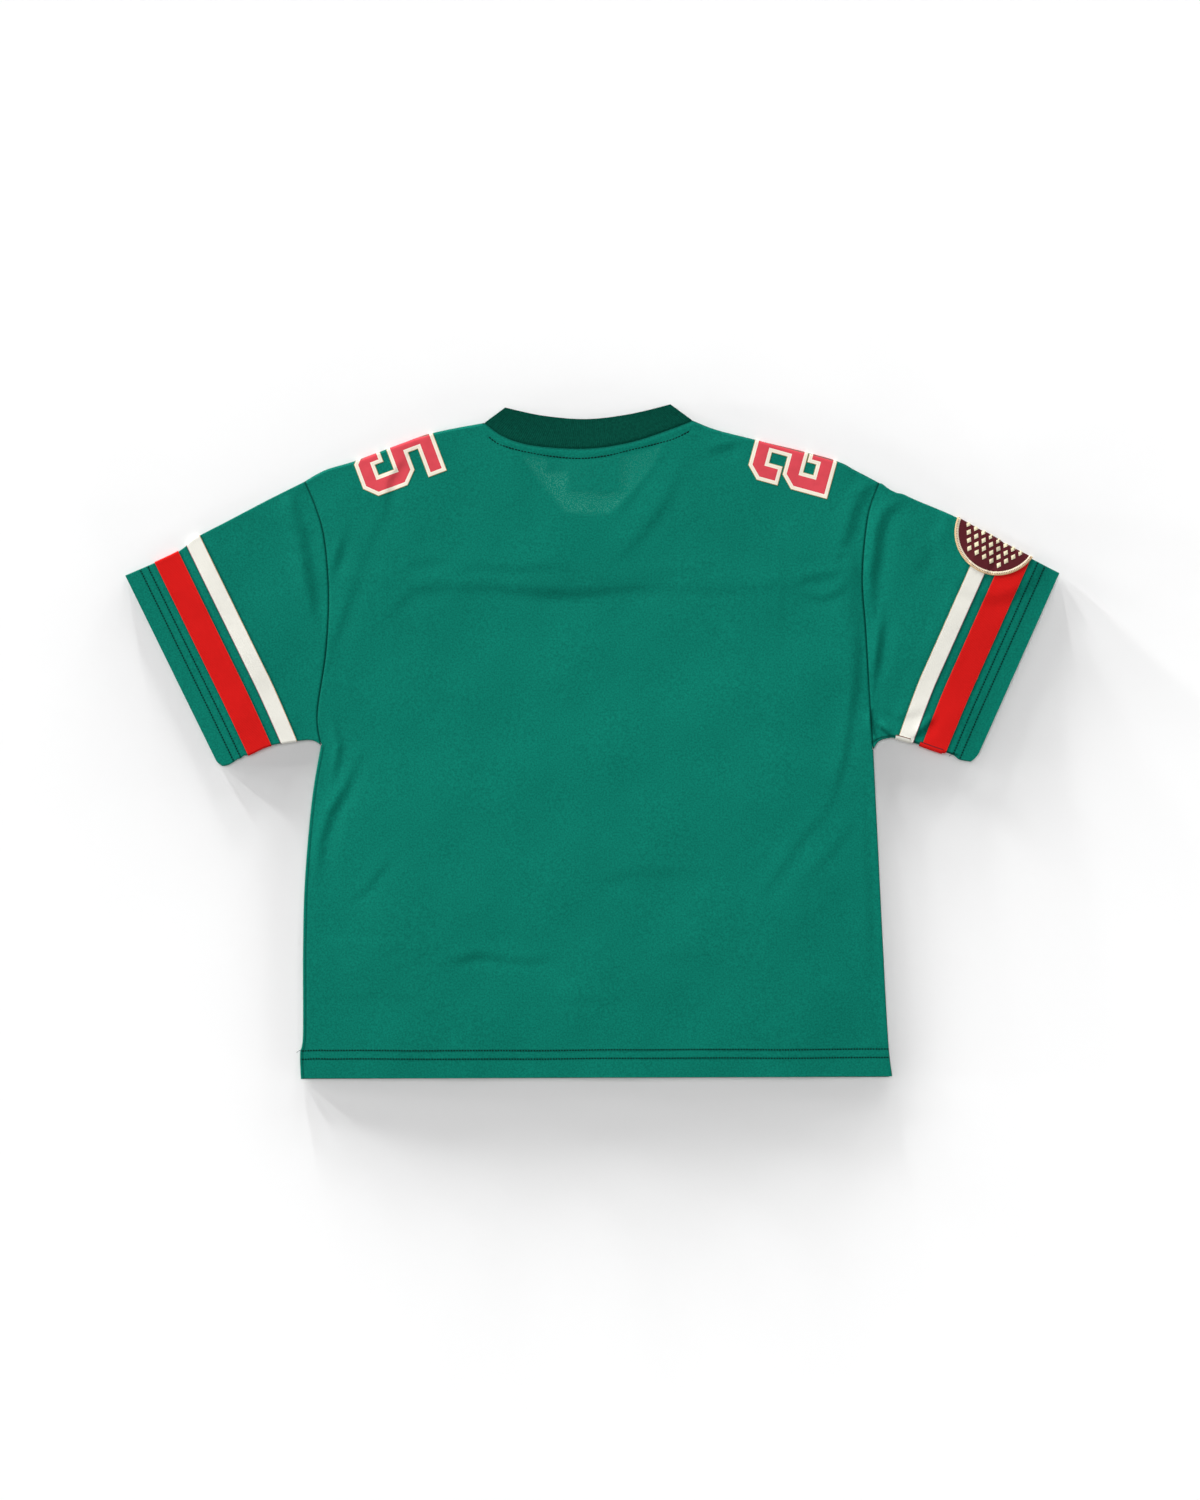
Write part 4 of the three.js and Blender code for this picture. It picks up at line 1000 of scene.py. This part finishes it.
# ---------------------------------------------------------------- front panel, rolled up over the left side
def front_panel():
    side = spaced(SIDE_LEFT.length, 4.0, start=HEM_STEPS)
    low_left = yoke_share(ARMHOLE_LEFT) * spaced(130, 4.0, end=EDGE)[1:]
    low_right = yoke_share(ARMHOLE_RIGHT) * spaced(130, 4.0, end=EDGE)[1:]
    left = np.vstack([beside(SIDE_LEFT, side, ROLL + 0 * side), ARMHOLE_LEFT.at(low_left)])
    right = np.vstack([beside(SIDE_RIGHT, side, lip_width(side) + SEAM), ARMHOLE_RIGHT.at(low_right)])
    r = run_lengths(left)
    r = r / r[-1]
    s = spaced(452, 4.0, end=EDGE)
    flat = coons(mix(left[0], right[0], s[:, None]), mix(left[-1], right[-1], s[:, None]), left, right, s, r)
    flat[0, :, 1] -= HEM_DROP
    flat[-1, :, 1] -= SEAM
    turns = TURNS[:-1]
    thickness = CLOTH + HEM_EXTRA * hem_zone(flat)[0]
    count = len(side)
    columns = len(s)
    edge = SIDE_LEFT.at(side)
    edge[0, 1] -= HEM_DROP

    def layer(inner):
        h = -thickness if inner else np.zeros(flat.shape[:2])
        grid = np.zeros((len(r), 1 + len(turns) + columns, 3))
        grid[:, 1 + len(turns):] = on_bottom(flat, h)
        centre = edge + np.array([ROLL, 0])
        grid[:count, 1:1 + len(turns)] = on_roll(edge, centre, TURNS[1:][::-1], h[:count, 0])
        lip = edge + np.stack([lip_width(side), 0 * side], axis=-1)
        grid[:count, 0] = on_top(lip, h[:count, 0])
        return grid

    shape = (len(r), 1 + len(turns) + columns)
    j, i = np.meshgrid(np.arange(shape[0] - 1), np.arange(shape[1] - 1), indexing="ij")
    kept = (i > len(turns)) | (j < count - 1)
    return shell("front", layer(False), layer(True), cells(*shape)[kept], [JERSEY])


front = finish(front_panel(), "jersey", "front_panel")


# ---------------------------------------------------------------- sleeves
# Columns beside the underarm fold, then the rows in from the cuff: those between and past the tapes' edges,
# and those of the cuff, closest at its edge, its two stitch rows and its fold.
UNDERARM_STEPS = (0, 1.25, 1.7, 2.2, 2.8, 3.5, 4.4, 5.6, 7.4, 9.4)
SLEEVE_ACROSS = spaced(205, 2.7, start=UNDERARM_STEPS, end=FOLD_EDGE)
TAPE_ROWS = [*np.arange(27.5, 44, 2.6), 47.8, 50.4, *np.arange(55.6, 65, 2.6), 68.5, 71.1, 73.8]
CUFF_STEPS = (0, 0.5, 1.5, 4, 8, 11.2, 12.0, 12.5, 13.0, 13.9, 16.1, 17.6, 18.4, 18.9, 19.4, 20.5, 22.4)


def sleeve(which):
    beside_tapes = [edge + step for edges in TAPES.values() for edge in edges for step in TAPE_EDGE_STEPS]
    deep = sorted([*TAPE_ROWS, *beside_tapes])
    shares = 1 - spaced(70, 2.6, start=EDGE)[::-1]
    flat = which.rows([*CUFF_STEPS, *deep], shares[1:], SLEEVE_ACROSS)
    thickness = CLOTH + HEM_EXTRA * hem_zone(flat[:, len(SLEEVE_ACROSS) // 2])[0]
    outer, inner = ring_points(flat, flat), ring_points(flat, flat, -thickness)
    faces = cells(*outer.shape[:2], ring=True)
    return shell(f"{which.name}_sleeve", outer, inner, faces.reshape(-1, 4), [JERSEY])


sleeves = {which.name: finish(sleeve(which), "jersey", f"sleeve_{which.name}") for which in SLEEVES}


def tape(which, colour, looks, edges):
    start, end = TAPES[colour]
    rim = (0, 0.45, 0.9, 1.3)
    depths = start + (end - start) * spaced(end - start, 2.2, start=rim, end=rim)
    flat = which.rows(np.concatenate([[0], depths]), [], SLEEVE_ACROSS)[1:]
    inside = np.minimum(depths - start, end - depths)
    height = SKIN + TAPE * (0.86 + 0.14 * smooth(inside / 0.9))
    outer, inner = ring_points(flat, flat, height), ring_points(flat, flat, SKIN)
    faces = cells(*outer.shape[:2], ring=True)
    row = np.arange(len(depths) - 1)
    bands = np.where(row < 1, edges[0], np.where(row >= len(row) - 1, edges[1], 0))
    regions = np.repeat(bands, faces.shape[1])
    return shell(f"{which.name}_{colour}_tape", outer, inner, faces.reshape(-1, 4), looks, regions)


TAPE_LOOKS = {
    "red": ([RED_TAPE, RED_EDGE], (1, 1)),
    "white": ([WHITE_TAPE, TAN_EDGE, MAUVE_EDGE], (2, 1)),
}
tapes = {}
for which in SLEEVES:
    for colour, (looks, edges) in TAPE_LOOKS.items():
        made = tape(which, colour, looks, edges)
        tapes[which.name, colour] = finish(made, f"{colour}_tape", f"tape_{colour}_{which.name}")


# Painted shade: the white tape's end takes the darker label look, and each end's last row a dark look for the
# crease along its seam.
TAPE_END_SHADED_LOOKS = {"red": [RED_TAPE, PATCH_CLOTH], "white": [LABEL, BORDER_DARK]}
TAPE_END_ACROSS = (-1.0, -0.3, 0.3, 0.9, 1.4, 1.8, 2.3, 2.7, 3.4)    # distances in from the underarm fold


def tape_end(which, colour):
    """A tape's other end, sewn in under the arm a little nearer the body, past a dark seam line that is
    partly painted shade.
    """
    start, end = TAPES[colour]
    u = np.linspace(0, 1, 401)
    from_cuff = which.cuff_place(which.under.at(u))[0]
    share = np.interp(np.linspace(start + 2.8, end + 2.2, 18), from_cuff[::-1], u[::-1])
    edge, way = which.under.at(share)[:, None], which.under.tangent(share)[:, None]
    inward = np.stack([-way[..., 1], way[..., 0]], axis=-1) * which.away
    b = np.broadcast_to(TAPE_END_ACROSS, (len(share), len(TAPE_END_ACROSS)))
    outer, inner = (across_edge(edge, inward, b, SKIN + TAPE + h) for h in (0.4, 0.1))
    faces = cells(*b.shape)
    regions = np.zeros(faces.shape[:2], int)
    # The last row takes the dark look: painted shade along the seam.
    regions[:, -1] = 1
    return shell(f"{which.name}_{colour}_tape_end", outer, inner, faces.reshape(-1, 4),
                 TAPE_END_SHADED_LOOKS[colour], regions.reshape(-1))


tape_ends = {
    colour: finish(tape_end(RIGHT, colour), f"{colour}_tape", f"tape_{colour}_right") for colour in TAPE_LOOKS
}


# ---------------------------------------------------------------- rib collar
def collar():
    count = 400
    share = np.linspace(0, 1, count)
    neck = NECK.at(share) + np.array([0, 0.1])
    top_edge = COLLAR_EDGE.at(share)
    vee_top = VEE_POINT + np.array([0, 0.6])
    half = np.clip(share * 2, 0, 1)[:, None], np.clip(share * 2 - 1, 0, 1)[:, None]
    seam = np.where(share[:, None] <= 0.5, mix(neck[0], vee_top, half[0]), mix(vee_top, neck[-1], half[1]))
    across = np.array([-0.035, 0.002, 0.03, 0.08, 0.2, 0.4, 0.6, 0.8, 0.93, 1])
    # How far each of these rows sinks, to pass under the panels at the neck seam.
    tucked = np.array([CLOTH + SEAM, 0.45, 0.06, 0, 0, 0, 0, 0, 0, 0])
    upper = np.array([mix(neck, top_edge, w) for w in across])
    lower = np.array([mix(seam, VEE_EDGE.at(share), w) for w in across])

    def ribbed(h):
        points = ring_points(upper, lower, h)
        along = run_lengths(points[4])
        outward = np.where(np.arange(points.shape[1]) < len(TURNS) + count, 1, -1)
        points[..., 2] += 0.16 * np.sin(2 * np.pi * along / 1.62) * outward
        return points

    outer, inner = ribbed(-tucked), ribbed(-CLOTH - tucked)
    faces = cells(*outer.shape[:2], ring=True)
    return shell("collar_rib", outer, inner, faces.reshape(-1, 4), [RIB])


collar_piece = finish(collar(), "rib", "collar")


# ---------------------------------------------------------------- outlines filled with triangles
def inset(points, by):
    """A closed outline moved in by a distance, corner by corner."""
    p = np.array(points, float)
    area = np.sum(p[:, 0] * np.roll(p[:, 1], -1) - p[:, 1] * np.roll(p[:, 0], -1))
    if area < 0:
        p = p[::-1]
    before, after = unit(p - np.roll(p, 1, axis=0)), unit(np.roll(p, -1, axis=0) - p)
    n0, n1 = np.stack([-before[:, 1], before[:, 0]], 1), np.stack([-after[:, 1], after[:, 0]], 1)
    return p + by * (n0 + n1) / (1 + np.sum(n0 * n1, axis=1, keepdims=True))


def dense(points, step):
    p = np.array(points, float)
    out = []
    for a, b in zip(p, np.roll(p, -1, axis=0)):
        n = max(1, round(math.dist(a, b) / step))
        out += [mix(a, b, k / n) for k in range(n)]
    return np.array(out)


def within(points, p):
    """Whether each point of p is inside a closed outline."""
    inside = np.zeros(len(p), bool)
    for a, b in zip(points, np.roll(points, -1, axis=0)):
        crosses = (a[1] > p[:, 1]) != (b[1] > p[:, 1])
        if a[1] != b[1]:
            inside ^= crosses & (p[:, 0] < a[0] + (p[:, 1] - a[1]) * (b[0] - a[0]) / (b[1] - a[1]))
    return inside


def fill(loops, step):
    """Triangles inside the first loop, with edges along every loop."""
    points, edges = [], []
    for loop in loops:
        start = len(points)
        points += [Vector(q) for q in loop.tolist()]
        edges += [(start + k, start + (k + 1) % len(loop)) for k in range(len(loop))]
    border = np.array([tuple(q) for q in points])
    low, high = loops[0].min(axis=0), loops[0].max(axis=0)
    across, up = (np.arange(low[k] + step / 2, high[k], step) for k in (0, 1))
    grid = np.stack(np.meshgrid(across, up), axis=-1).reshape(-1, 2)
    grid = grid[within(loops[0], grid)]
    near = np.array([np.min(np.sum((border - q) ** 2, axis=1)) for q in grid])
    points += [Vector(q) for q in grid[near > (0.45 * step) ** 2].tolist()]
    made, _, faces, *_ = delaunay_2d_cdt(points, edges, [list(range(len(loops[0])))], 1, 1e-5)
    return np.array([tuple(q) for q in made]), np.array([f for f in faces if len(f) == 3])


# ---------------------------------------------------------------- numerals
def numeral(name, points, place):
    """A printed film: a tan line, cream with a darker line along it, then a red field."""
    bands = (0.4, 1.5, 1.9, 3.1)
    loops = [dense(points, 1.1)] + [dense(inset(points, by), 1.1) for by in bands]
    flat, faces = fill(loops, 1.6)
    middle = flat[faces].mean(axis=1)
    depth = sum(within(loop, middle).astype(int) for loop in loops[1:])
    region = np.array([2, 0, 1, 0, 3])[depth]
    rim = polyline_distance(flat, np.vstack([loops[0], loops[0][:1]]))[0]
    field = polyline_distance(flat, np.vstack([loops[-1], loops[-1][:1]]))[0]
    height = 0.15 + 0.12 * smooth(rim / 0.7) + 0.08 * within(loops[-1], flat) * smooth(field / 0.4)
    outer, inner = place(flat, SKIN + height), place(flat, SKIN + 0 * height)
    return shell(name, outer, inner, faces, [FILM_CREAM, FILM_SHADE, FILM_TAN, FILM_RED], region)


def on_shoulder(line, foot, turn, over):
    """place() for a numeral that stands on its foot at a turn in degrees, and passes under a shoulder."""
    up = np.array([math.cos(math.radians(turn)), math.sin(math.radians(turn))])
    right = np.array([up[1], -up[0]])
    off = line.points - np.array(foot)
    order = np.argsort(off @ up)
    heights, folds = (off @ up)[order], (off @ right)[order]

    def place(flat, h):
        fold = np.interp(flat[:, 1], heights, folds)
        edge = np.array(foot) + flat[:, 1:] * up + fold[:, None] * right
        return across_edge(edge, over * right, over * (flat[:, 0] - fold) + ROLL * (math.pi / 2 - 1), h)

    return place


H, W, S, CUT, GAP, NOTCH, SLIT = NUMERAL.values()
BOWL, BAR = H - S - GAP, 2 * S + GAP
HOOK, END = BOWL - S - NOTCH, BAR + 2 * SLIT
SERIF = S + GAP - SLIT
FIVE = [
    (0, H), (W, H), (W, H - S), (S, H - S), (S, BOWL), (W - CUT, BOWL), (W, BOWL - CUT), (W, CUT),
    (W - CUT, 0), (CUT, 0), (0, CUT), (0, HOOK), (S, HOOK), (S, S), (W - S, S), (W - S, BOWL - S),
    (0, BOWL - S),
]
TWO = [
    (0, 0), (W, 0), (W, SERIF), (W - S, SERIF), (W - S, S), (S, S), (S, S + GAP), (W, S + GAP), (W, H),
    (CUT, H), (0, H - CUT), (0, END), (S, END), (S, H - S), (W - S, H - S), (W - S, BAR), (CUT, BAR),
    (0, BAR - CUT),
]

five = numeral("number_5", FIVE, on_shoulder(SHOULDER_LEFT, (-188.9, 224.5), 20.6, 1))
finish(five, "numeral_film", "number_left")
two = numeral("number_2", TWO, on_shoulder(SHOULDER_RIGHT, (183.1, 188.8), 164.6, -1))
finish(two, "numeral_film", "number_right")


# ---------------------------------------------------------------- round patch over the top fold and the tapes
def on_patch(flat, h):
    """A point of the patch: x along the sleeve's top edge from its centre, y in from the middle."""
    edge = RIGHT.top.at((PATCH_ALONG + flat[..., 0]) / RIGHT.top.length)
    b = flat[..., 1] - PATCH_PAST
    depth = np.maximum(np.abs(b) - ROLL * (math.pi / 2 - 1), ROLL)
    below = RIGHT.cuff_place(edge + PATCH_IN * depth[..., None])[0]
    over_tapes = sum(shelf(below, start, end, 3) for start, end in TAPES.values())
    return across_edge(edge, PATCH_IN, b, h + (SKIN + TAPE) * over_tapes)


def circle(radius, count):
    turn = np.linspace(0, 2 * np.pi, count, endpoint=False)
    return np.stack([radius * np.cos(turn), radius * np.sin(turn)], axis=-1)


def patch_disc():
    rim = PATCH_RADIUS - 1.4
    folds = []
    for away in (0.4, 0.9, 1.5):
        low, high = PATCH_PAST - away, PATCH_PAST + away
        half = math.sqrt(rim**2 - high**2) - 0.6
        folds.append(dense([(-half, low), (half, low), (half, high), (-half, high)], 1.7))
    flat, faces = fill([circle(rim, 150), *folds], 1.7)
    off = np.hypot(*flat.T)
    height = PATCH - 0.25 + 0.12 * np.cos(off / 5.5)
    outer, inner = on_patch(flat, SKIN + height), on_patch(flat, SKIN + 0 * height)
    return shell("patch_twill", outer, inner, faces, [PATCH_CLOTH])


def patch_border():
    """Overlocked edge: a tan outer cord, a cream inner one and a row of dark threads between."""
    threads, per, sides = 150, 4, 14
    cord = 1.6
    columns = threads * per
    turn = np.linspace(0, 2 * np.pi, columns, endpoint=False)[None]
    around = np.linspace(0, 2 * np.pi, sides, endpoint=False)[:, None]
    ridge = 1 + 0.06 * np.cos(threads * turn + 2.2 * np.sin(around))
    radius = PATCH_RADIUS - cord + cord * ridge * np.cos(around)
    rise = 0.5 * ridge * np.sin(around)
    flat = np.stack([radius * np.cos(turn), radius * np.sin(turn)], axis=-1)
    points = on_patch(flat, SKIN + 0.55 + rise)
    quads = cells(sides + 1, columns, ring=True) % (sides * columns)
    row, step = np.meshgrid(np.arange(sides), np.arange(columns), indexing="ij")
    dark = (row == 3) & (step % per < 2)
    look = np.where(dark, 2, np.where((row >= 3) & (row < 7), 1, 0))
    return make("patch_border", points.reshape(-1, 3), quads.reshape(-1, 4).tolist(),
                [BORDER_TAN, BORDER_CREAM, BORDER_DARK], look.reshape(-1))


def patch_motif():
    """A plain filling: staggered rows of small raised lozenges."""
    across, up, reach, most = 6.6, 5.4, 26.0, 5
    half_width, half_height = 1.9, 2.7
    lozenge = dense([(half_width, 0), (0, half_height), (-half_width, 0), (0, -half_height)], 0.8)
    flat, faces = fill([lozenge], 0.9)
    rim = polyline_distance(flat, np.vstack([lozenge, lozenge[:1]]))[0]
    places = [np.array([across * (column + 0.5 * (row % 2)), up * row])
              for row in range(-most, most + 1) for column in range(-most, most + 1)]
    places = [centre for centre in places if np.hypot(*centre) <= reach]
    height = np.tile(PATCH - 0.1 + 0.3 * smooth(rim / 0.8), len(places))
    all_faces = np.vstack([faces + k * len(flat) for k in range(len(places))])
    flat = np.vstack([flat + centre for centre in places])
    inner = on_patch(flat, SKIN + PATCH - 0.45 + 0 * height)
    return shell("patch_motif", on_patch(flat, SKIN + height), inner, all_faces, [MOTIF])


patch = finish(patch_disc(), "patch_cloth", "patch")
border = finish(patch_border(), "patch_cloth", "patch")
motif = finish(patch_motif(), "patch_cloth", "patch")


# ---------------------------------------------------------------- blank labels under the back panel
def label(name):
    x, y, tilt = LABELS[name].values()
    rows, columns = 18, 22
    u, v = np.meshgrid(np.linspace(0, 1, columns), np.linspace(0, 1, rows))
    flat = np.stack([mix(*x, u), mix(*y, v) + tilt * (u - 0.5) * (x[1] - x[0]) * (1 - v)], axis=-1)
    outer, inner = on_top(flat, -CLOTH - 0.1), on_top(flat, -CLOTH - 0.35)
    return shell(f"{name}_cloth", outer, inner, cells(rows, columns).reshape(-1, 4), [LABEL])


labels = {name: finish(label(name), "label", name) for name in LABELS}


# ---------------------------------------------------------------- sewing
def hem_line(depth):
    x = np.linspace(-226.6, 232.0, 200)
    wander = 0.25 * np.sin(x / 37) + 0.15 * np.sin(x / 15 + 1) + 0.5 * bump(x + 214, 8)
    return np.stack([x, hem_y(x) + depth + wander], axis=-1)


def cuff_line(which, depth):
    return which.rows([0, depth], [], np.linspace(0.004, 0.996, 80))[1]


THREAD = dict(length=1.45, pitch=2.15, width=1.15, height=0.42)
NECK_THREAD = dict(length=2.2, pitch=2.5, width=1.25, height=0.42)


def over(p):
    return on_top(p, 0.1)


def under(p):
    return on_bottom(p, -0.02)


def loose_end(start, way, droop):
    """A cut thread that sticks out past the end of a row, four-sided."""
    t = np.linspace(0, 1, 9)[:, None]
    path = np.array(start) + t * way + t**2 * droop
    corners = 0.16 * np.array([(0, 1, 0), (0, 0, 1), (0, -1, 0), (0, 0, -1)])
    points = (path[:, None] + corners).reshape(-1, 3)
    sides = cells(len(path), 4, ring=True).reshape(-1, 4).tolist()
    return points, [*map(tuple, sides), (3, 2, 1, 0), tuple(range(len(points) - 4, len(points)))]


def sewing(name, rows, extra=()):
    parts = [stitch_row(path, place, **size) for path, place, size in rows] + list(extra)
    faces, start = [], 0
    for points, own in parts:
        faces += [tuple(v + start for v in face) for face in own]
        start += len(points)
    return make(name, np.vstack([points for points, _ in parts]), faces, [DARK_THREAD])


hem_rows = [hem_line(depth) for depth in HEM_ROWS]
hem_seam = finish(
    sewing("hem_stitches", [(row, over, THREAD) for row in hem_rows],
           [loose_end([-226.8, -240.6, 2.2], [-3.6, 0, -0.9], [0, -2.2, 0])]), "jersey", "back_panel")
front_hem_seam = finish(
    sewing("front_hem_stitches", [(row, under, THREAD) for row in hem_rows]), "jersey", "front_panel")
CUFF_ENDS = {
    "left": [],
    "right": [loose_end([280.4, -9.6, 2.2], [-1.4, -2.2, -1.0], [-0.8, 0.4, 0])],
}
cuff_seams = {}
for which in SLEEVES:
    rows = [(cuff_line(which, depth), place, THREAD) for depth in CUFF_ROWS for place in (over, under)]
    cuff_seams[which.name] = finish(
        sewing(f"{which.name}_cuff_stitches", rows, CUFF_ENDS[which.name]), "jersey", f"sleeve_{which.name}")
neck_seam = finish(
    sewing("neck_stitches", [(TOPSTITCH.points[::2], over, NECK_THREAD)]), "jersey", "back_panel")


# ---------------------------------------------------------------- cloth facts
SHEETS = [
    # piece, width and length of the cut, its area, what it lies on, what is sewn to it
    (back, (0.462, 0.640), 0.258, ["front", "floor"], [hem_seam, neck_seam]),
    (front, (0.462, 0.391), 0.170, ["floor"], [front_hem_seam]),
    (collar_piece, (0.470, 0.026), 0.0088, ["floor"], []),
    (sleeves["left"], (0.420, 0.160), 0.0455, ["floor"], [cuff_seams["left"]]),
    (sleeves["right"], (0.420, 0.160), 0.0455, ["floor"], [cuff_seams["right"]]),
    (tapes["left", "red"], (0.345, 0.0203), None, ["left_sleeve"], []),
    (tapes["right", "red"], (0.345, 0.0203), None, ["right_sleeve"], [tape_ends["red"]]),
    (tapes["left", "white"], (0.360, 0.0130), None, ["left_sleeve"], []),
    (tapes["right", "white"], (0.360, 0.0130), None, ["right_sleeve"], [tape_ends["white"]]),
    (patch, (0.0642, 0.0642), 0.00324, ["right_sleeve"], [border, motif]),
    (five, (0.0391, 0.0663), 0.00200, ["back"], []),
    (two, (0.0391, 0.0663), 0.00220, ["back"], []),
    (labels["neck_label"], (0.0405, 0.0273), None, ["back"], []),
    (labels["size_tab"], (0.0166, 0.0117), None, ["back"], []),
    (labels["care_label"], (0.073, 0.040), None, ["back"], []),
]
for thing, flat, area, below, sewn in SHEETS:
    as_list(below)
    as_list(sewn)


# ---------------------------------------------------------------- floor, light and camera
bpy.ops.mesh.primitive_plane_add(size=9, location=(0, 0, 0))
floor = bpy.context.object
floor.name = "floor"
paint = Look("floor_paint", 0.9, specular=0.0)
paint.colour(paint.blend(paint.noise(0.9, 2.0), (0.93, 0.93, 0.93, 1), (0.96, 0.96, 0.96, 1)))
floor.data.materials.append(paint.made)


def share_light(thing, floor_state):
    """INCLUDE keeps a light for the floor alone, EXCLUDE for everything but the floor."""
    receivers = bpy.data.collections.new(f"{thing.name}_receivers")
    receivers.objects.link(floor)
    receivers.collection_objects[0].light_linking.link_state = floor_state
    thing.light_linking.receiver_collection = receivers


def far_light(name, turn, height, strength, spread, floor_state):
    """A soft light far off, from a turn of the compass and a height in degrees."""
    lamp = bpy.data.lights.new(name, "SUN")
    lamp.energy, lamp.angle = strength, math.radians(spread)
    thing = add(name, lamp)
    turn, height = math.radians(turn), math.radians(height)
    way = Vector((math.cos(turn) * math.cos(height), math.sin(turn) * math.cos(height), math.sin(height)))
    thing.rotation_euler = way.to_track_quat("Z", "Y").to_euler()
    share_light(thing, floor_state)


# Low lights from all round, for the floor alone, draw the garment's long soft shadow on it. They are
# strongest from beyond the collar and to the left, and their heights take turns.
LOW_HEIGHTS = ((1.3, 2.4), (2.2, 3.4), (1.5, 2.8), (3.6, 5.0))   # height and spread, in degrees
for k, turn in enumerate(range(-60, 250, 20)):
    height, spread = LOW_HEIGHTS[k % len(LOW_HEIGHTS)]
    share = 0.2 + math.exp(-((turn - 115) / 50) ** 2)
    strength = 0.255 * share / math.sin(math.radians(height))
    far_light(f"floor_low_{k}", turn, height, strength, spread, "INCLUDE")
far_light("floor_fill", 120, 60, 0.58, 40, "INCLUDE")
# Higher ones model the cloth and leave the floor alone.
far_light("key", 104, 15, 2.6, 20, "EXCLUDE")
far_light("side", 152, 15, 2.2, 20, "EXCLUDE")

panel = bpy.data.lights.new("panel", "AREA")
panel.shape, panel.size, panel.size_y = "RECTANGLE", 1.2, 0.25
panel.energy = 1.84
panel_object = add("panel", panel)
panel_object.location = (-0.03, 0.01, 0.6)
share_light(panel_object, "EXCLUDE")

world = bpy.data.worlds.new("studio")
bpy.context.scene.world = world
world.use_nodes = True
background = world.node_tree.nodes["Background"]
background.inputs["Color"].default_value = (1, 1, 1, 1)
background.inputs["Strength"].default_value = 0.30

EYE = (0.0062, -0.0066, 3.0)     # the camera's place, straight overhead, in metres
VIEW = 1.170         # length of floor seen from top to bottom, in metres
camera = bpy.data.cameras.new("overhead")
camera.sensor_width = 36
camera.lens = camera.sensor_width * EYE[2] / VIEW
eye = add("overhead", camera)
eye.location = EYE
bpy.context.scene.camera = eye
bpy.context.scene.view_settings.view_transform = "Standard"
